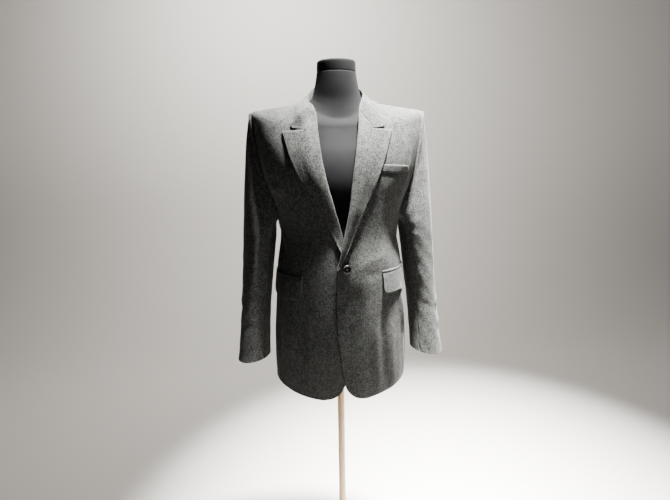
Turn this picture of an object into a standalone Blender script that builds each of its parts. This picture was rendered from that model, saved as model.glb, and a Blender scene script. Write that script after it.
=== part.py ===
"""Single-breasted blazer worn on a limbless dress form on a pole and a round base.

Metres, +Z up, the front of the jacket faces -Y, the wearer's left is +X, origin on the floor
under the pole. The cloth panels lie on one body surface, given by rings from the hem to the
neckline: phi runs round the body from the centre front (0) over the wearer's left side (90) to the
centre back (180), and t runs up the body from the hem (0), over the shoulder, to the neck seam.
"""

import math

import bmesh
import bpy
import numpy as np
from mathutils import Matrix, Vector

for old in list(bpy.data.objects):
    bpy.data.objects.remove(old, do_unlink=True)

# ---------------------------------------------------------------- driving dimensions
CLOTH = 0.0020            # wall of a single panel: flannel, canvas and lining together
LAPEL_CLOTH = 0.0026      # lapel and collar: two layers of flannel over canvas
CREASE_CLOTH = 0.0012     # collar beside its pressed crease
DEEPEST_CREASE = 4.0      # the wrong side of a crease lies at most this many times the cloth deeper
SEAM = 0.00022            # each panel stops this far short of its seam line
HALF_SHOULDER = 0.211     # centre to shoulder tip
NECK_TOP = 1.500          # top of the form's neck cap
CAP_HEIGHT = 0.026
POLE_DIAMETER = 0.020
BASE_DIAMETER = 0.400
BASE_HEIGHT = 0.016
BUTTON_DIAMETER = 0.0225
BUTTON_THICKNESS = 0.0036
BREAK_HEIGHT = 1.004      # where the lapel starts to roll
BUTTON_AT = (0.0072, 1.006)   # front view
LEFT_OVER = 0.0030        # how far the left front is lifted to lap over the right one

# rings of the jacket, from the hem up
# t, half width, front depth, back depth, z at side, z at front, z at back, squareness
BODY = np.array([
    (0.000, 0.1795, 0.1225, 0.1250, 0.684, 0.650, 0.672, 2.30),
    (0.140, 0.1765, 0.1300, 0.1220, 0.816, 0.800, 0.808, 2.30),
    (0.255, 0.1700, 0.1320, 0.1080, 0.925, 0.918, 0.922, 2.30),
    (0.330, 0.1640, 0.1315, 0.0990, 0.998, 0.994, 0.996, 2.30),
    (0.420, 0.1530, 0.1265, 0.0930, 1.088, 1.086, 1.088, 2.25),
    (0.490, 0.1700, 0.1260, 0.1000, 1.155, 1.155, 1.155, 2.20),
    (0.555, 0.1950, 0.1250, 0.1090, 1.220, 1.215, 1.222, 2.20),
    (0.640, 0.2090, 0.1120, 0.1120, 1.305, 1.285, 1.300, 2.20),
    (0.680, 0.2125, 0.1010, 0.1020, 1.345, 1.311, 1.327, 2.20),
    (0.715, HALF_SHOULDER, 0.0900, 0.0920, 1.381, 1.335, 1.352, 2.15),
    (0.735, 0.1915, 0.0870, 0.0860, 1.385, 1.340, 1.363, 2.15),
    (0.785, 0.1420, 0.0800, 0.0720, 1.393, 1.352, 1.388, 2.10),
    (0.855, 0.0750, 0.0660, 0.0560, 1.403, 1.368, 1.416, 2.00),
])

# how far the dress form lies inside the jacket: t, at side, at front, at back
FORM_INSET = np.array([
    (0.110, 0.030, 0.024, 0.030),
    (0.255, 0.026, 0.022, 0.022),
    (0.420, 0.022, 0.020, 0.018),
    (0.555, 0.036, 0.014, 0.016),
    (0.640, 0.036, 0.014, 0.016),
    (0.715, 0.028, 0.014, 0.012),
    (0.770, 0.0060, 0.012, 0.011),
    (0.855, 0.0060, 0.010, 0.010),
])

# neck of the form above the jacket: z at side, z at front, z at back, half width, front, back
NECK = np.array([
    (1.4090, 1.3830, 1.4220, 0.0635, 0.0540, 0.0455),
    (1.4230, 1.4050, 1.4300, 0.0585, 0.0510, 0.0460),
    (1.4400, 1.4320, 1.4420, 0.0545, 0.0500, 0.0480),
    (1.4570, 1.4560, 1.4570, 0.0512, 0.0488, 0.0475),
    (1.4736, 1.4736, 1.4736, 0.0488, 0.0475, 0.0470),
])

# The jacket hangs a little askew: it is turned some 5 mm to the wearer's right at the chest, closes
# some 6 mm to the left, and its collar lies lower on the right. So each side has its own lines, in
# the outward x of that side.
# front view of the front edge, from the rounded hem up
FRONT_CORNER = {
    "left": np.array([
        (0.0600, 0.6530), (0.0400, 0.6548), (0.0240, 0.6620), (0.0115, 0.6740), (0.0025, 0.6900),
        (-0.0035, 0.7200), (-0.0088, 0.7600), (-0.0133, 0.8050), (-0.0170, 0.8550),
        (-0.0181, 0.9050), (-0.0179, 0.9550), (-0.0168, BREAK_HEIGHT),
    ]),
    "right": np.array([
        (0.0560, 0.6530), (0.0360, 0.6548), (0.0200, 0.6620), (0.0080, 0.6740), (0.0000, 0.6900),
        (-0.0085, 0.7200), (-0.0150, 0.7600), (-0.0195, 0.8050), (-0.0225, 0.8550),
        (-0.0235, 0.9050), (-0.0235, 0.9550), (-0.0235, BREAK_HEIGHT),
    ]),
}

# roll line and collar crease, x, y and z, from the break to the centre back
ROLL = {
    "left": np.array([
        (-0.0168, -0.1320, 1.004), (-0.0078, -0.1310, 1.040), (0.0000, -0.1290, 1.082),
        (0.0130, -0.1280, 1.148), (0.0217, -0.1250, 1.210), (0.0303, -0.1170, 1.264),
        (0.0370, -0.1030, 1.312), (0.0434, -0.0870, 1.352), (0.0490, -0.0680, 1.383),
        (0.0575, -0.0340, 1.410), (0.0635, -0.0020, 1.429), (0.0540, 0.0320, 1.446),
        (0.0300, 0.0490, 1.453), (0.0000, 0.0540, 1.455),
    ]),
    "right": np.array([
        (-0.0235, -0.1320, 1.004), (-0.0120, -0.1310, 1.040), (0.0000, -0.1290, 1.082),
        (0.0165, -0.1280, 1.148), (0.0325, -0.1250, 1.210), (0.0435, -0.1170, 1.264),
        (0.0490, -0.1030, 1.312), (0.0525, -0.0870, 1.352), (0.0570, -0.0665, 1.382),
        (0.0675, -0.0360, 1.3990), (0.0755, -0.0040, 1.4110), (0.0560, 0.0320, 1.4445),
        (0.0300, 0.0490, 1.453), (0.0000, 0.0540, 1.455),
    ]),
}
ROLL_TOP = 8              # row of ROLL where the gorge seam starts
NOTCH_SHARE = 0.40        # share of the lapel's end that is sewn to the collar

# front view of the free edge of the lapel, from the break to the tip of the peak
LAPEL_EDGE = {
    "left": np.array([
        (-0.0120, 1.004), (-0.0032, 1.022), (0.0153, 1.060), (0.0357, 1.110), (0.0547, 1.156),
        (0.0790, 1.2055), (0.1023, 1.263), (0.1140, 1.301), (0.1252, 1.3335),
    ]),
    "right": np.array([
        (-0.0185, 1.004), (-0.0060, 1.022), (0.0115, 1.060), (0.0376, 1.110), (0.0624, 1.156),
        (0.0896, 1.2055), (0.1158, 1.263), (0.1270, 1.301), (0.1360, 1.3320),
    ]),
}
NOTCH = {"left": (0.0773, 1.3328), "right": (0.0872, 1.3320)}
# free edge of the collar: front view from its tip up to the shoulder, then (phi in degrees, t) round
# to the centre back
COLLAR_FRONT_EDGE = {
    "left": ((0.1062, 1.3383), (0.1030, 1.3560), (0.0995, 1.3740), (0.0955, 1.3890)),
    "right": ((0.1155, 1.3372), (0.1125, 1.3560), (0.1090, 1.3740), (0.1062, 1.3890)),
}
COLLAR_BACK_EDGE = ((88.0, 0.8290), (108.0, 0.8200), (130.0, 0.8100), (155.0, 0.8030), (180.0, 0.8000))
COLLAR_FOLD = 1 / 3       # share of the collar's width that is its stand
COLLAR_OFF = 0.0062       # how far the collar's free edge lies off the panels
# from the gorge (0) to the centre back (1), how far the fall bulges over the chest and then sinks
# beside and behind the neck, and the power that shifts this towards its edge
FALL_CURVE = {
    "left": np.array([
        (0.00, 0.0060, 1.0), (0.22, 0.0060, 1.0), (0.42, -0.0058, 1.6), (0.55, -0.0062, 1.4),
        (0.75, -0.0036, 1.6), (1.00, -0.0020, 1.5),
    ]),
    "right": np.array([
        (0.00, 0.0142, 1.0), (0.22, 0.0142, 1.0), (0.30, 0.0087, 1.2), (0.36, 0.0024, 1.4),
        (0.42, -0.0014, 1.6), (0.52, -0.0056, 1.4), (0.75, -0.0040, 1.6), (1.00, -0.0020, 1.5),
    ]),
}
# phi of the stand's seam, in degrees, from the gorge to the centre back
STAND_SEAM = {
    "left": (48.0, 74.4, 100.8, 127.2, 153.6, 180.0),
    "right": (38.0, 58.0, 87.0, 125.0, 152.0, 180.0),
}
FALL_SEWN = 0.50          # share of the fall's end that is sewn to the lapel
NECK_SEAM_T = 0.855       # t of the neck seam
STAND_IN, STAND_UP = 0.0050, 0.0010     # how far inside and above the neck seam the stand begins
STAND_AT_GORGE = np.array([-0.0020, 0.0048, -0.0056])   # the stand's height where it begins
LAPEL_OFF = 0.0064        # how far the lapel lies off the front, and its belly beyond that
LAPEL_BELLY = 0.0020
LAPEL_LOW = 0.0032        # how far it lies off at the break
TUCKED_LOW = 0.0021       # the same for the right lapel, whose thin end goes under the left front
TUCKED_CLOTH = 0.0015
TUCKED_UNTIL = (0.28, 0.52)   # shares of its length between which it grows to its full lift

# seams in (phi in degrees, t)
SIDE_FRONT = np.array([(66.0, 0.0), (66.0, 0.22), (67.0, 0.42), (69.0, 0.462)])
SIDE_BACK = np.array([(113.0, 0.0), (112.0, 0.22), (112.0, 0.42), (113.0, 0.462)])
ARM_FRONT = np.array([
    (69.0, 0.462), (68.5, 0.490), (70.0, 0.545), (72.5, 0.605), (74.0, 0.655), (77.0, 0.692),
    (83.0, 0.7105), (90.0, 0.715),
])
ARM_BACK = np.array([
    (113.0, 0.462), (114.0, 0.490), (112.5, 0.545), (109.5, 0.605), (107.0, 0.655), (103.5, 0.692),
    (97.0, 0.7105), (90.0, 0.715),
])
ARM_SIDE = np.array([(69.0, 0.462), (80.0, 0.4485), (91.0, 0.4455), (102.0, 0.4485), (113.0, 0.462)])

# rings of the left sleeve, from the cuff up: z, centre x, centre y, half width, half depth, slant
SLEEVE = np.array([
    (0.7480, 0.2360, -0.031, 0.0432, 0.0500, 0.26),
    (0.810, 0.2315, -0.019, 0.0405, 0.0545, 0.10),
    (0.890, 0.2255, -0.006, 0.0393, 0.0600, 0.00),
    (0.980, 0.2165, 0.002, 0.0413, 0.0650, 0.00),
    (1.070, 0.2075, 0.006, 0.0440, 0.0680, 0.00),
])

POCKET_TOP = {"left": 0.9885, "right": 0.9795}    # flap's top edge
FLAP_HEIGHT = 0.055
FLAP_WIDTH = 0.145
FLAP_CORNER = 0.016       # radius of its lower corners
JET_HEIGHT = 0.0060
POCKET_OFF = 0.0024       # how far flap and jet lie off the panels
FLAP_FRONT, FLAP_BACK = 33.5, 93.0     # phi in degrees
WELT = ((0.0930, 1.2531), (0.1655, 1.2485))  # top edge in front view
WELT_HEIGHT = 0.0205
WELT_OFF = 0.0022
WELT_CLOTH = 0.0018

FRONT_ROWS, SIDE_ROWS, ARM_ROWS, ARM_SIDE_CELLS = 19, 12, 7, 4


# ---------------------------------------------------------------- curves and the body surface
def along(table, position):
    """The smooth curve through the rows (or single numbers) of table, at position 0 to 1 by row."""
    table = np.asarray(table, float)
    last = len(table) - 1
    position = min(max(position, 0.0), 1.0) * last
    i = min(int(position), last - 1)
    u = position - i
    before = table[max(i - 1, 0)]
    a = table[i]
    b = table[i + 1]
    after = table[min(i + 2, last)]
    slope_a = (b - before) / (2 if i > 0 else 1)
    slope_b = (after - a) / (2 if i + 2 <= last else 1)
    return hermite(a, slope_a, b, slope_b, u)


def hermite(a, slope_a, b, slope_b, u):
    return (
        (2 * u**3 - 3 * u * u + 1) * a
        + (u**3 - 2 * u * u + u) * slope_a
        + (3 * u * u - 2 * u**3) * b
        + (u**3 - u * u) * slope_b
    )


SLOPES = {}


def by_first(table, value):
    """The other columns of table, smoothly, where its first column has this value."""
    keys = table[:, 0]
    if id(table) not in SLOPES:
        SLOPES[id(table)] = np.gradient(table[:, 1:], keys, axis=0)
    slopes = SLOPES[id(table)]
    value = min(max(value, keys[0]), keys[-1])
    i = min(max(int(np.searchsorted(keys, value, "right")) - 1, 0), len(keys) - 2)
    step = keys[i + 1] - keys[i]
    u = (value - keys[i]) / step
    return hermite(table[i, 1:], slopes[i] * step, table[i + 1, 1:], slopes[i + 1] * step, u)


def ease(value, start, end):
    u = min(max((value - start) / (end - start), 0.0), 1.0)
    return u * u * (3 - 2 * u)


def ring_point(phi, row):
    half, front, back, z_side, z_front, z_back, square = row
    s = math.sin(phi)
    c = math.cos(phi)
    depth = front if c > 0 else back
    z_end = z_front if c > 0 else z_back
    return np.array([
        half * math.copysign(abs(s) ** (2 / square), s),
        -depth * math.copysign(abs(c) ** (2 / square), c),
        z_side + (z_end - z_side) * c * c,
    ])


def body_normal(phi, t):
    e = 2e-3
    t = min(max(t, e), BODY[-1, 0] - e)
    across = ring_point(phi + e, by_first(BODY, t)) - ring_point(phi - e, by_first(BODY, t))
    up = ring_point(phi, by_first(BODY, t + e)) - ring_point(phi, by_first(BODY, t - e))
    normal = np.cross(across, up)
    return normal / np.linalg.norm(normal)


def body(phi, t, out=0.0):
    """A point of the jacket's outer surface, moved out along its normal."""
    point = ring_point(phi, by_first(BODY, t))
    return point + body_normal(phi, t) * out if out else point


def front_point(x, z):
    """phi and t of the front of the body surface where it has this x and z in front view."""
    phi = math.asin(min(max(x / 0.22, -0.9), 0.9)) * 1.3
    t = min(max(z - 0.66, 0.01), 0.80)
    e = 1e-4
    for _ in range(24):
        here = body(phi, t)
        by_phi = (body(phi + e, t) - here) / e
        by_t = (here - body(phi, t - e)) / e
        slope = np.array([[by_phi[0], by_t[0]], [by_phi[2], by_t[2]]])
        error = np.array([x - here[0], z - here[2]])
        if np.abs(error).max() < 1e-6:
            break
        step = np.linalg.solve(slope.T @ slope + np.eye(2) * 1e-5, slope.T @ error)
        phi = min(max(phi + step[0], -1.75), 1.75)
        t = min(max(t + step[1], 1e-4), BODY[-1, 0])
    return phi, t


def left_lift(phi, t):
    """How far the left front stands off the body surface: it lies over the right one near the centre."""
    x = body(phi, t)[0]
    over_lapel = 0.0023 * ease(t, 0.255, 0.315)
    return (LEFT_OVER + over_lapel) * (1 - ease(x, 0.035, 0.085)) * (1 - ease(t, 0.47, 0.56))


# ---------------------------------------------------------------- making solids
MATERIALS = {}


def material(name, colour, roughness, metallic=0.0):
    if name not in MATERIALS:
        made = bpy.data.materials.new(name)
        made.use_nodes = True
        shader = made.node_tree.nodes["Principled BSDF"]
        shader.inputs["Base Color"].default_value = (*colour, 1.0)
        shader.inputs["Roughness"].default_value = roughness
        shader.inputs["Metallic"].default_value = metallic
        MATERIALS[name] = made
    return MATERIALS[name]


FLANNEL = ("charcoal flannel", (0.085, 0.087, 0.086), 0.95)
JERSEY = ("black jersey", (0.012, 0.012, 0.013), 0.9)
HORN = ("dark horn", (0.010, 0.009, 0.009), 0.3)
OAK = ("pale wood", (0.55, 0.38, 0.20), 0.5)


def finish_object(name, bm, finish, smooth=True):
    bmesh.ops.recalc_face_normals(bm, faces=bm.faces[:])
    if bm.calc_volume(signed=True) < 0:
        bmesh.ops.reverse_faces(bm, faces=bm.faces[:])
    mesh = bpy.data.meshes.new(name)
    bm.to_mesh(mesh)
    bm.free()
    if smooth:
        mesh.shade_smooth()
        mesh.set_sharp_from_angle(angle=math.radians(40))
    mesh.materials.append(material(*finish))
    made = bpy.data.objects.new(name, mesh)
    bpy.context.scene.collection.objects.link(made)
    return made


def unit(vector):
    return vector / max(np.linalg.norm(vector), 1e-12)


def mirrored(points):
    return points * np.array([-1.0, 1.0, 1.0])


def wall(name, columns, rows, place, thickness, finish=FLANNEL, mirror=False, pull=SEAM, beyond=0.0,
         reach=1e-3):
    """A cloth piece: place(u, v) is its right side, and it is this thick towards its wrong side.

    beyond lets place be asked that far past u of 0 and 1, where the surface goes on in the next piece.
    reach is how far up and down its direction is taken; at a crease the wrong side lies on the line
    that halves the fold, as much deeper as keeps the cloth's thickness."""
    outer = np.zeros((rows + 1, columns + 1, 3))
    inner = np.zeros((rows + 1, columns + 1, 3))
    e = 1e-3
    for j in range(rows + 1):
        for i in range(columns + 1):
            u = i / columns
            v = j / rows
            point = place(u, v)
            across = place(min(u + e, 1.0 + beyond), v) - place(max(u - e, -beyond), v)
            across = unit(across)
            ahead = place(u, min(v + reach, 1.0)) - point
            behind = point - place(u, max(v - reach, 0.0))
            up = unit(ahead - across * (ahead @ across)) + unit(behind - across * (behind @ across))
            normal = unit(np.cross(across, up))
            deep = thickness(u, v) if callable(thickness) else thickness
            if 0 < j < rows:
                deep *= min(2 / np.linalg.norm(up), DEEPEST_CREASE)
            outer[j, i] = point
            inner[j, i] = point - normal * deep
    for layer in (outer, inner):
        pulled = layer.copy()
        for a, b in ((0, 1), (-1, -2)):
            side = layer[:, b] - layer[:, a]
            pulled[:, a] += pull * side / np.linalg.norm(side, axis=1)[:, None]
            end = layer[b] - layer[a]
            pulled[a] += pull * end / np.linalg.norm(end, axis=1)[:, None]
        layer[:] = mirrored(pulled) if mirror else pulled
    bm = bmesh.new()
    bmesh.ops.create_grid(bm, x_segments=columns, y_segments=rows, size=0.5)
    seen = {}
    for vert in bm.verts:
        seen[vert] = (round((vert.co.x + 0.5) * columns), round((vert.co.y + 0.5) * rows))
    kept = list(bm.faces)
    raised = bmesh.ops.extrude_face_region(bm, geom=kept, use_keep_orig=True)
    for vert in raised["geom"]:
        if isinstance(vert, bmesh.types.BMVert):
            i = round((vert.co.x + 0.5) * columns)
            j = round((vert.co.y + 0.5) * rows)
            vert.co = Vector(inner[j, i])
    for vert, (i, j) in seen.items():
        vert.co = Vector(outer[j, i])
    return finish_object(name, bm, finish)


def turned(name, profile, sides, finish, centre=(0.0, 0.0)):
    """A solid of revolution about a vertical axis, from (radius, z) rows between two points on the axis."""
    bm = bmesh.new()
    line = [bm.verts.new((r, 0.0, z)) for r, z in profile]
    edges = [bm.edges.new(pair) for pair in zip(line[:-1], line[1:])]
    bmesh.ops.spin(
        bm, geom=line + edges, cent=(0, 0, 0), axis=(0, 0, 1), angle=math.tau, steps=sides,
        use_merge=True, use_duplicate=False,
    )
    bmesh.ops.remove_doubles(bm, verts=bm.verts[:], dist=1e-6)
    bmesh.ops.translate(bm, verts=bm.verts[:], vec=(centre[0], centre[1], 0.0))
    return finish_object(name, bm, finish)


def tube_of_rings(name, rings, finish):
    """A closed solid through rings of points, capped at both ends."""
    bm = bmesh.new()
    loops = []
    for ring in rings:
        loops.append([bm.verts.new(Vector(point)) for point in ring])
    count = len(loops[0])
    for low, high in zip(loops[:-1], loops[1:]):
        for i in range(count):
            k = (i + 1) % count
            bm.faces.new((low[i], low[k], high[k], high[i]))
    bm.faces.new(loops[0][::-1])
    bm.faces.new(loops[-1])
    return finish_object(name, bm, finish)


# ---------------------------------------------------------------- body panels
def radians_first(pair):
    return np.array([math.radians(pair[0]), pair[1]])


SIDE_SHARE = SIDE_ROWS / FRONT_ROWS


def front_outer(v):
    """Side seam, then armhole up to the shoulder tip."""
    if v <= SIDE_SHARE:
        return radians_first(along(SIDE_FRONT, v / SIDE_SHARE))
    return radians_first(along(ARM_FRONT, (v - SIDE_SHARE) / (1 - SIDE_SHARE)))


def back_outer(v):
    if v <= SIDE_SHARE:
        return radians_first(along(SIDE_BACK, v / SIDE_SHARE))
    return radians_first(along(ARM_BACK, (v - SIDE_SHARE) / (1 - SIDE_SHARE)))


NECK_EDGE = ((33.0, 0.824), (52.0, 0.847), (71.0, 0.8535), (90.0, 0.855))


def front_inner(side):
    """Front edge, roll line and neck edge."""
    corner = [np.array(front_point(x, z)) for x, z in FRONT_CORNER[side]]
    corner[0][1] = 0.0
    roll_on_body = [np.array(front_point(x, z)) for x, y, z in ROLL[side][1:ROLL_TOP]]
    return np.array(corner + roll_on_body + [radians_first(pair) for pair in NECK_EDGE])


def front_place(side, lift):
    inner_line = front_inner(side)

    def place(u, v):
        inside = along(inner_line, v)
        outside = front_outer(v)
        phi, t = inside + (outside - inside) * u
        return body(phi, t, lift(phi, t))
    return place


def no_lift(phi, t):
    return 0.0


wall("front_left", 9, FRONT_ROWS, front_place("left", left_lift), CLOTH)
wall("front_right", 9, FRONT_ROWS, front_place("right", no_lift), CLOTH, mirror=True)


def side_place(u, v):
    if v >= 1.0:
        return body(*radians_first(along(ARM_SIDE, u)))
    low = radians_first(along(SIDE_FRONT, v))
    high = radians_first(along(SIDE_BACK, v))
    top = radians_first(along(ARM_SIDE, u))
    straight = low + (high - low) * u
    ends = radians_first(ARM_SIDE[0]) * (1 - u) + radians_first(ARM_SIDE[-1]) * u
    phi, t = straight + (top - ends) * v**3
    return body(phi, t)


for side, flip in (("left", False), ("right", True)):
    wall("side_" + side, ARM_SIDE_CELLS, SIDE_ROWS, side_place, CLOTH, mirror=flip)


BACK_NECK_SHARE = 3 / 8


def back_top(u):
    """From the centre back along the neck seam, then along the shoulder seam to its tip."""
    if u <= BACK_NECK_SHARE:
        return np.array([math.pi - math.pi / 2 * u / BACK_NECK_SHARE, 0.855])
    share = (u - BACK_NECK_SHARE) / (1 - BACK_NECK_SHARE)
    return np.array([math.pi / 2, 0.855 - 0.140 * share])


def back_place(u, v):
    inside = np.array([math.pi, 0.855 * (v * 0.9 + 0.1 * v * v)])
    outside = back_outer(v)
    straight = inside + (outside - inside) * u
    ends = np.array([math.pi, 0.855]) * (1 - u) + np.array([math.pi / 2, 0.715]) * u
    phi, t = straight + (back_top(u) - ends) * ease(v, 0.68, 1.0)
    return body(phi, t)


for side, flip in (("left", False), ("right", True)):
    wall("back_" + side, 8, FRONT_ROWS, back_place, CLOTH, mirror=flip)


# ---------------------------------------------------------------- sleeves
FRONT_ANGLE, BACK_ANGLE = 130.0, 230.0
UNDER_FROM, UNDER_TO = 130.0, 230.0 + 130.0 / ARM_ROWS


def arm_domain(angle):
    """The armhole seam at an angle: 0 at the shoulder tip, 90 in front, 180 under the arm."""
    if angle <= FRONT_ANGLE:
        return radians_first(along(ARM_FRONT, 1 - angle / FRONT_ANGLE))
    if angle <= BACK_ANGLE:
        return radians_first(along(ARM_SIDE, (angle - FRONT_ANGLE) / (BACK_ANGLE - FRONT_ANGLE)))
    return radians_first(along(ARM_BACK, (angle - BACK_ANGLE) / (360 - BACK_ANGLE)))


def arm_frame(angle):
    """Point of the armhole, the way out of the armhole within the surface, and the surface's normal."""
    angle = angle % 360
    here = body(*arm_domain(angle))
    ahead = body(*arm_domain(min(angle + 0.5, 359.999)))
    behind = body(*arm_domain(max(angle - 0.5, 0.0)))
    if angle < 0.5:
        behind = body(*arm_domain(359.5))
    tangent = ahead - behind
    tangent = tangent / np.linalg.norm(tangent)
    normal = body_normal(*arm_domain(angle))
    away = np.cross(normal, tangent)
    return here, away / np.linalg.norm(away), normal


def sleeve_ring(angle, z):
    x, y, wide, deep, slant = by_first(SLEEVE, z)
    a = math.radians(angle)
    px = wide * math.cos(a)
    py = -deep * math.sin(a)
    return np.array([x + px, y + py, z - slant * (0.6 * px + 0.1 * py)])


CAP_SHARE = 7 / 18


def sleeve_point(angle, v):
    top = SLEEVE[-1, 0]
    low = SLEEVE[0, 0]
    if v >= CAP_SHARE:
        share = (v - CAP_SHARE) / (1 - CAP_SHARE)
        return sleeve_ring(angle, top + (low - top) * share)
    here, away, normal = arm_frame(angle)
    under = (1 - math.cos(math.radians(angle))) / 2
    rise = math.radians(30 + 60 * ease(under, 0.25, 0.95))
    start_way = math.cos(rise) * away + math.sin(rise) * normal
    start_way = start_way + np.array([0.0, 0.0, 0.95]) * max(1 - under * 3.2, 0.0)
    start_way = start_way / np.linalg.norm(start_way)
    start = here + start_way * 0.0007
    end = sleeve_ring(angle, top)
    down = sleeve_ring(angle, top - 0.01) - end
    down = down / np.linalg.norm(down)
    gap = np.linalg.norm(end - start)
    strong = 0.056 * (1 - under) + 0.030 * under
    return hermite(start, start_way * strong, end, down * gap * (0.95 - 0.25 * under), v / CAP_SHARE)


def sleeve_place(first, last):
    def place(u, v):
        return sleeve_point((first + (last - first) * u) % 360, v)
    return place


for side, flip in (("left", False), ("right", True)):
    under = sleeve_place(UNDER_FROM, UNDER_TO)
    upper = sleeve_place(UNDER_TO, 360 + UNDER_FROM)
    wall("sleeve_under_" + side, 5, 18, under, CLOTH, mirror=flip, beyond=0.01)
    wall("sleeve_top_" + side, 13, 18, upper, CLOTH, mirror=flip, beyond=0.01)


# ---------------------------------------------------------------- lapels and collar
def on_front(x, z, out):
    phi, t = front_point(x, z)
    return body(phi, t, out)


def lapel_place(side, lift, tuck):
    """u from the roll line to the free edge, v from the break to the gorge."""
    def place(u, v):
        roll = along(ROLL[side][: ROLL_TOP + 1], v)
        edge = along(LAPEL_EDGE[side], v)
        notch = np.array(NOTCH[side])
        peak = LAPEL_EDGE[side][-1]
        start = ROLL[side][ROLL_TOP][[0, 2]]
        if u < NOTCH_SHARE:
            top = start + (notch - start) * u / NOTCH_SHARE
        else:
            top = notch + (peak - notch) * (u - NOTCH_SHARE) / (1 - NOTCH_SHARE)
        flat = roll[[0, 2]] * (1 - u) + edge * u
        flat = flat + (top - (start * (1 - u) + peak * u)) * ease(v, 0.55, 1.0)
        phi, t = front_point(flat[0], flat[1])
        belly = LAPEL_BELLY * math.sin(math.pi * min(u * 1.4, 1.0))
        high = LAPEL_OFF + belly - 0.0010 * (1 - ease(u, 0.0, 0.15))
        low = TUCKED_LOW if tuck else LAPEL_LOW
        rise = ease(v, *TUCKED_UNTIL) if tuck else ease(v, 0.0, 0.25)
        point = body(phi, t, low + (high - low) * rise + lift(phi, t))
        blend = (1 - ease(u, 0.0, 0.35)) * ease(v, 0.80, 1.0)
        return point * (1 - blend) + np.array([flat[0], roll[1], flat[1]]) * blend
    return place


def lapel_end(side, u):
    """The gorge seam: the lapel's end, which the collar's end follows."""
    return lapel_place(side, no_lift, False)(u, 1.0)


def lapel_thickness(tuck):
    def deep(u, v):
        if not tuck:
            return LAPEL_CLOTH
        return TUCKED_CLOTH + (LAPEL_CLOTH - TUCKED_CLOTH) * ease(v, *TUCKED_UNTIL)
    return deep


wall("lapel_left", 5, 22, lapel_place("left", left_lift, False), lapel_thickness(False), pull=0.0008)
wall(
    "lapel_right", 5, 22, lapel_place("right", no_lift, True), lapel_thickness(True), mirror=True,
    pull=0.0008,
)


COLLAR_EDGE = {
    side: np.array(
        [front_point(x, z) for x, z in COLLAR_FRONT_EDGE[side]]
        + [(math.radians(phi), t) for phi, t in COLLAR_BACK_EDGE]
    )
    for side in ("left", "right")
}


def collar_half(side, s, w):
    """One half of the collar: s from the gorge (0) to the centre back (1), w from the stand's seam
    over the crease to the free edge."""
    crease = along(ROLL[side][ROLL_TOP:], s)
    phi_edge, t_edge = along(COLLAR_EDGE[side], s)
    edge = body(phi_edge, t_edge, COLLAR_OFF)
    if w >= COLLAR_FOLD:
        r = (w - COLLAR_FOLD) / (1 - COLLAR_FOLD)
        point = crease + (edge - crease) * r
        off, power = by_first(FALL_CURVE[side], s)
        curve = math.sin(math.pi * r**power) * ease(s, 0.0, 0.15)
        point = point + body_normal(phi_edge, t_edge) * off * curve
        notch = lapel_end(side, NOTCH_SHARE)
        start = ROLL[side][ROLL_TOP]
        tip = on_front(*COLLAR_FRONT_EDGE[side][0], COLLAR_OFF)
        if r < FALL_SEWN:
            end = lapel_end(side, NOTCH_SHARE * r / FALL_SEWN)
        else:
            end = notch + (tip - notch) * (r - FALL_SEWN) / (1 - FALL_SEWN)
        return point + (end - (start + (tip - start) * r)) * (1 - ease(s, 0.0, 0.35))
    r = 1 - w / COLLAR_FOLD
    phi = math.radians(along(STAND_SEAM[side], s))
    inward = np.array([-math.sin(phi), math.cos(phi), 0.0])
    base = body(phi, NECK_SEAM_T) + STAND_IN * inward + np.array([0.0, 0.0, STAND_UP])
    short = crease + STAND_AT_GORGE
    base = short + (base - short) * ease(s, 0.0, 0.3)
    return crease + (base - crease) * r


def collar_place(u, v):
    """u round the neck from the right gorge over the centre back to the left gorge."""
    if u < 0.5:
        return mirrored(collar_half("right", 2 * u, v))
    return collar_half("left", 2 * (1 - u), v)


def collar_thickness(u, v):
    """Thin near the crease, so that stand and fall stay clear of each other inside the fold."""
    return CREASE_CLOTH + (LAPEL_CLOTH - CREASE_CLOTH) * ease(abs(v - COLLAR_FOLD), 0.05, 0.30)


wall("collar", 28, 9, collar_place, collar_thickness, pull=0.0016, reach=1 / 9)


# ---------------------------------------------------------------- pockets
def flap_place(side):
    """u from the front to the back, v from the lower edge up, with rounded lower corners."""

    def place(u, v):
        down = 1 - v
        u = 0.3 * u + 0.7 * (1 - math.cos(math.pi * u)) / 2
        phi = math.radians(FLAP_FRONT + (FLAP_BACK - FLAP_FRONT) * u)
        edge = min(u, 1 - u) * FLAP_WIDTH
        short = 0.0
        if edge < FLAP_CORNER:
            short = FLAP_CORNER - math.sqrt(max(FLAP_CORNER**2 - (FLAP_CORNER - edge) ** 2, 0.0))
        z = POCKET_TOP[side] - 0.0004 - (FLAP_HEIGHT - short * 0.85) * down
        return at_height(phi, z, POCKET_OFF + 0.0002 + 0.0012 * down)

    return place


def at_height(phi, z, out):
    """The point of the body surface at this phi and height."""
    low, high = 0.0, 0.70
    for _ in range(30):
        t = (low + high) / 2
        if body(phi, t)[2] < z:
            low = t
        else:
            high = t
    return body(phi, t, out)


def jet_place(side):
    def place(u, v):
        phi = math.radians(FLAP_FRONT - 0.6 + (FLAP_BACK - FLAP_FRONT + 1.2) * u)
        return at_height(phi, POCKET_TOP[side] + JET_HEIGHT * v, POCKET_OFF)

    return place


for side, flip in (("left", False), ("right", True)):
    wall("flap_" + side, 12, 3, flap_place(side), CLOTH, mirror=flip)
    wall("jet_" + side, 12, 1, jet_place(side), CLOTH, mirror=flip)


def welt_place(u, v):
    (x0, z0), (x1, z1) = WELT
    x = x0 + (x1 - x0) * u
    z = z0 + (z1 - z0) * u - WELT_HEIGHT * (1 - v)
    return on_front(x, z, WELT_OFF)


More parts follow.
